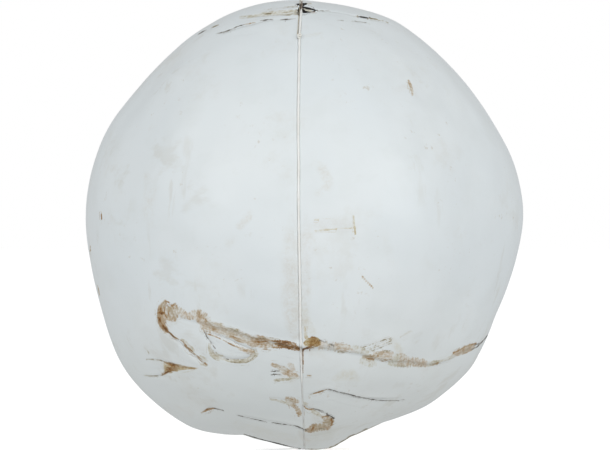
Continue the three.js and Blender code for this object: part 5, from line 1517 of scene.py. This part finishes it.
def closing_knot():
    """An overhand knot that sits astride the welt, in three turns of thread."""
    pts = []
    for t in np.linspace(0, 1, 150):
        a = t * 3.0 * 2 * math.pi
        spread = (t - 0.5) * 2
        x = 1.34 * math.cos(a) * (1 - 0.25 * spread ** 2)
        lift = 1.62 + 0.66 * math.sin(a)
        s = 1.9 * spread + 0.5 * math.sin(a * 0.5)
        pts.append((x, s, lift))
    pts = np.array(pts)
    col = SLIT_FRONT + pts[:, 1] / 172.0 * 180 / math.pi
    return tube("knot", seam_path(pts[:, 0], -pts[:, 2], col, True), 0.40, sides=8)


def tape():
    cols = np.linspace(90, 450, 360, endpoint=False)
    edge = [(TAPE_IN_X, TAPE_TOP), (TAPE_OUT_X, TAPE_TOP), (TAPE_OUT_X, 10.5), (TAPE_OUT_X, TAPE_FOLD_OUT - 0.3),
            (TAPE_OUT_X - 0.4, TAPE_FOLD_OUT), (-TAPE_OUT_X + 0.4, TAPE_FOLD_OUT), (-TAPE_OUT_X, TAPE_FOLD_OUT - 0.3),
            (-TAPE_OUT_X, 10.5), (-TAPE_OUT_X, TAPE_TOP), (-TAPE_IN_X, TAPE_TOP), (-TAPE_IN_X, 10.5),
            (-TAPE_IN_X + 0.2, TAPE_FOLD_IN), (TAPE_IN_X - 0.2, TAPE_FOLD_IN), (TAPE_IN_X, 10.5)]
    profile = [below(x, d) for x, d in edge]
    return face_out(new_object("edge_tape", *turned_rings(profile, cols, True)))


CORE = CENTRE + CORE_SHIFT + np.array([-0.4, 0, 0])


def spun(name, rows, around, shape=None):
    """A closed outline of (radius, z) rows spun about Z through the core, with an optional change of shape."""
    verts, rings, n = [], [], 0
    a = np.linspace(0, 2 * math.pi, around, endpoint=False)
    start = end = None
    for i, (r, z) in enumerate(rows):
        if r < 1e-6:
            verts.append(np.array([[0, 0, z]]))
            if i == 0:
                start = n
            else:
                end = n
            n += 1
            continue
        rr = np.full(around, float(r))
        zz = np.full(around, float(z))
        if shape is not None:
            rr, zz = shape(i, r, z, a)
        verts.append(np.stack([rr * np.cos(a), rr * np.sin(a), zz], 1))
        rings.append((np.arange(n, n + around), a))
        n += around
    faces = ring_mesh(rings, cap_start=start, cap_end=end)
    return face_out(new_object(name, np.concatenate(verts) + CORE, [tuple(int(k) for k in f) for f in faces]))


def bag_gather(z, a):
    """Pleats that deepen towards the tied neck."""
    t = smooth01((z - 52) / 34)
    return t * (0.9 * np.sin(13 * a + 0.6 * np.sin(3 * a)) + 0.35 * np.sin(29 * a + 1.0))


def core_bag():
    outer = [(0.0, -BAG_R)] + [(BAG_R * math.sin(math.radians(t)), -BAG_R * math.cos(math.radians(t))) for t in np.arange(6, 166, 5.0)]
    neck = [(17.5, BAG_R - 1.2), (14.2, BAG_R + 0.6), (BAG_NECK_R + 1.2, BAG_R + 2.6), (BAG_NECK_R, BAG_R + 5), (BAG_NECK_R - 0.2, BAG_R + 7),
            (BAG_NECK_R, BAG_R + 9), (BAG_NECK_R + 2.2, BAG_R + 12.5), (BAG_MOUTH_R - 1.6, BAG_MOUTH_Z - 2.4), (BAG_MOUTH_R - 0.4, BAG_MOUTH_Z)]
    rows = outer + neck
    inner = [(max(r - BAG_T, 0), z + (BAG_T if z < -70 and r < 20 else 0)) for r, z in reversed(rows)]
    inner = [(r, z if abs(z) > BAG_R or z > 60 else z * (BAG_R - BAG_T) / BAG_R) for r, z in inner]
    inner[-1] = (0.0, -(BAG_R - BAG_T))
    n_out = len(rows)

    def shape(i, r, z, a):
        pull = bag_gather(z, a)
        k = 1.0 if i < n_out else 0.9
        sag = 0.0
        rr = r + np.minimum(pull * k, 0.25 if z < 78 else 0.6) - (0.35 if z < 78 else 0.0)
        return np.maximum(rr, 2.0), np.full(len(a), z + sag)

    return spun("ballast_bag", rows + inner, 156, shape)


def core_fill():
    rows = [(0.0, -FILL_R)] + [(FILL_R * math.sin(math.radians(t)), -FILL_R * math.cos(math.radians(t))) for t in np.arange(5, 170, 4.0)]
    rows += [(0.0, FILL_R - 1.4)]
    rng = np.random.RandomState(11)
    ks = rng.uniform(5, 40, (18, 2)).astype(int)
    ph = rng.uniform(0, 6.28, 18)

    def shape(i, r, z, a):
        lump = np.zeros(len(a))
        for (m, k), p in zip(ks, ph):
            lump += np.sin(m * a + k * z / 40.0 + p)
        return r - 0.55 - 0.12 * lump * min(1.0, r / 20), np.full(len(a), z)

    return spun("ballast", rows, 120, shape)


def core_tie():
    """Three turns of cord round the neck, crossing at one side in a knot."""
    pts = []
    for t in np.linspace(0, 1, 260):
        a = t * 3 * 2 * math.pi
        pts.append(((BAG_NECK_R + 1.3) * math.cos(a), (BAG_NECK_R + 1.3) * math.sin(a), BAG_R + 5.55 + 2.9 * t))
    ends = [((BAG_NECK_R + 1.3 + 0.9 * k) * math.cos(0.05 * k), (BAG_NECK_R + 1.3) * math.sin(0.05 * k) - 0.4 * k,
             BAG_R + 8.45 - 0.10 * k * k) for k in range(1, 5)]
    path = np.array(pts + ends) + CORE
    return tube("neck_cord", path, 0.75, sides=10)


# ------------------------------------------------------------------ put together
def adopt(obj, material, slot, *nodes):
    obj.data.materials.clear()
    obj.data.materials.append(material)
    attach(obj, "root")
    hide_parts(*nodes)
    return obj


COVER = cover_material("cover_finish")
left = cover_half("cover_left_skin", -1)
right = cover_half("cover_right_skin", 1)
adopt(left, COVER, "cover", "cover_left")
adopt(right, COVER, "cover", "cover_right")
adopt(welt(), welt_material("welt_strip"), "welt", "seam_welt")
THREAD = twist_material("waxed_thread", (0.42, 0.36, 0.25), (0.64, 0.57, 0.42))
adopt(stitch_thread("needle_side_thread", -1), THREAD, "thread", "needle_thread")
adopt(stitch_thread("bobbin_side_thread", 1), THREAD, "thread", "bobbin_thread")
adopt(closing_thread(), THREAD, "thread", "closing_thread")
KNOT = twist_material("knot_thread", (0.72, 0.71, 0.65), (0.88, 0.88, 0.84))
adopt(closing_knot(), KNOT, "thread", "closing_knot")
TAPE = weave_material("tape_twill", (0.42, 0.40, 0.34), (0.60, 0.58, 0.50), 0.0011)
tape_obj = adopt(tape(), TAPE, "tape", "seam_tape")
LINING = weave_material("lining_cloth", (0.33, 0.30, 0.24), (0.50, 0.47, 0.39), 0.0014)
lining_l = adopt(lining_half("lining_left_cloth", -1), LINING, "lining", "lining_left")
lining_r = adopt(lining_half("lining_right_cloth", 1), LINING, "lining", "lining_right")
FIBRE = fibre_material("felted_fibre")
pad_l = adopt(padding_half("padding_left_fibre", -1), FIBRE, "padding", "padding_left")
pad_r = adopt(padding_half("padding_right_fibre", 1), FIBRE, "padding", "padding_right")
CANVAS = weave_material("bag_canvas", (0.36, 0.31, 0.21), (0.58, 0.52, 0.39), 0.0017, depth=0.0004)
bag = adopt(core_bag(), CANVAS, "canvas", "core_bag")
adopt(core_fill(), grain_material("sand_ballast"), "ballast", "core_fill")
adopt(core_tie(), twist_material("tie_cord", (0.20, 0.16, 0.10), (0.42, 0.35, 0.24), 500), "cord", "core_tie")

# ------------------------------------------------------------- floor, light, camera
scene = bpy.context.scene
scene.view_settings.view_transform = "Standard"
scene.view_settings.look = "None"

floor_mesh = bpy.data.meshes.new("floor")
floor_mesh.from_pydata([(-8, -3, -0.0004), (8, -3, -0.0004), (8, 14, -0.0004), (-8, 14, -0.0004)], [], [(0, 1, 2, 3)])
floor = bpy.data.objects.new("floor", floor_mesh)
scene.collection.objects.link(floor)
fm, fnt = node_tree("floor_pale")
fo = fnt.nodes.new("ShaderNodeOutputMaterial")
fb = fnt.nodes.new("ShaderNodeBsdfPrincipled")
fb.inputs["Base Color"].default_value = (0.9, 0.9, 0.9, 1)
fb.inputs["Roughness"].default_value = 0.9
fb.inputs["Emission Color"].default_value = (1, 1, 1, 1)
fb.inputs["Emission Strength"].default_value = 0.62
fnt.links.new(fb.outputs[0], fo.inputs[0])
floor_mesh.materials.append(fm)
floor.visible_diffuse = False
floor.visible_glossy = False
floor.visible_shadow = False

world = bpy.data.worlds.new("studio")
scene.world = world
world.use_nodes = True
wn = world.node_tree
wn.nodes.clear()
wo = wn.nodes.new("ShaderNodeOutputWorld")
mixw = wn.nodes.new("ShaderNodeMixShader")
seen = wn.nodes.new("ShaderNodeBackground")
lit = wn.nodes.new("ShaderNodeBackground")
path = wn.nodes.new("ShaderNodeLightPath")
seen.inputs[0].default_value = (1, 1, 1, 1)
seen.inputs[1].default_value = 1.0
lit.inputs[0].default_value = (1.0, 1.0, 1.0, 1)
# a little brighter from below, as over a white sweep
sky = wn.nodes.new("ShaderNodeTexCoord")
level = wn.nodes.new("ShaderNodeSeparateXYZ")
fade = wn.nodes.new("ShaderNodeMath")
fade.operation = "MULTIPLY_ADD"
fade.inputs[1].default_value = -0.075
fade.inputs[2].default_value = 0.586
wn.links.new(sky.outputs["Generated"], level.inputs[0])
wn.links.new(level.outputs["Z"], fade.inputs[0])
wn.links.new(fade.outputs[0], lit.inputs[1])
wn.links.new(path.outputs["Is Camera Ray"], mixw.inputs[0])
wn.links.new(lit.outputs[0], mixw.inputs[1])
wn.links.new(seen.outputs[0], mixw.inputs[2])
wn.links.new(mixw.outputs[0], wo.inputs[0])


def area_light(name, azimuth, elevation, distance, size, power, color=(1, 1, 1)):
    data = bpy.data.lights.new(name, "AREA")
    data.shape = "RECTANGLE"
    data.size, data.size_y = size
    data.energy = power
    data.color = color
    obj = bpy.data.objects.new(name, data)
    a, e = math.radians(azimuth), math.radians(elevation)
    at = Vector((0, 0, 0.175))
    obj.location = at + Vector((math.sin(a) * math.cos(e), -math.cos(a) * math.cos(e), math.sin(e))) * distance
    obj.rotation_euler = (at - obj.location).to_track_quat("-Z", "Y").to_euler()
    scene.collection.objects.link(obj)
    return obj


area_light("softbox_right", 40, 18.5, 2.2, (1.1, 1.1), 14.0)
area_light("softbox_left", -40, 18.5, 2.2, (1.1, 1.1), 12.0)

cam_data = bpy.data.cameras.new("camera")
cam_data.sensor_width = 36
cam_data.lens = 36 * EYE_D / (610 * UNIT)
cam_data.clip_start, cam_data.clip_end = 0.05, 60
cam = bpy.data.objects.new("camera", cam_data)
cam.location = Vector(((CENTRE[0] + (305 - SEAM_U) * UNIT) * 0.001, (CENTRE[1] - EYE_D) * 0.001,
                       (CENTRE[2] + (CENTRE_V - 225) * UNIT) * 0.001))
cam.rotation_euler = (math.radians(90), 0, 0)
scene.collection.objects.link(cam)
scene.camera = cam
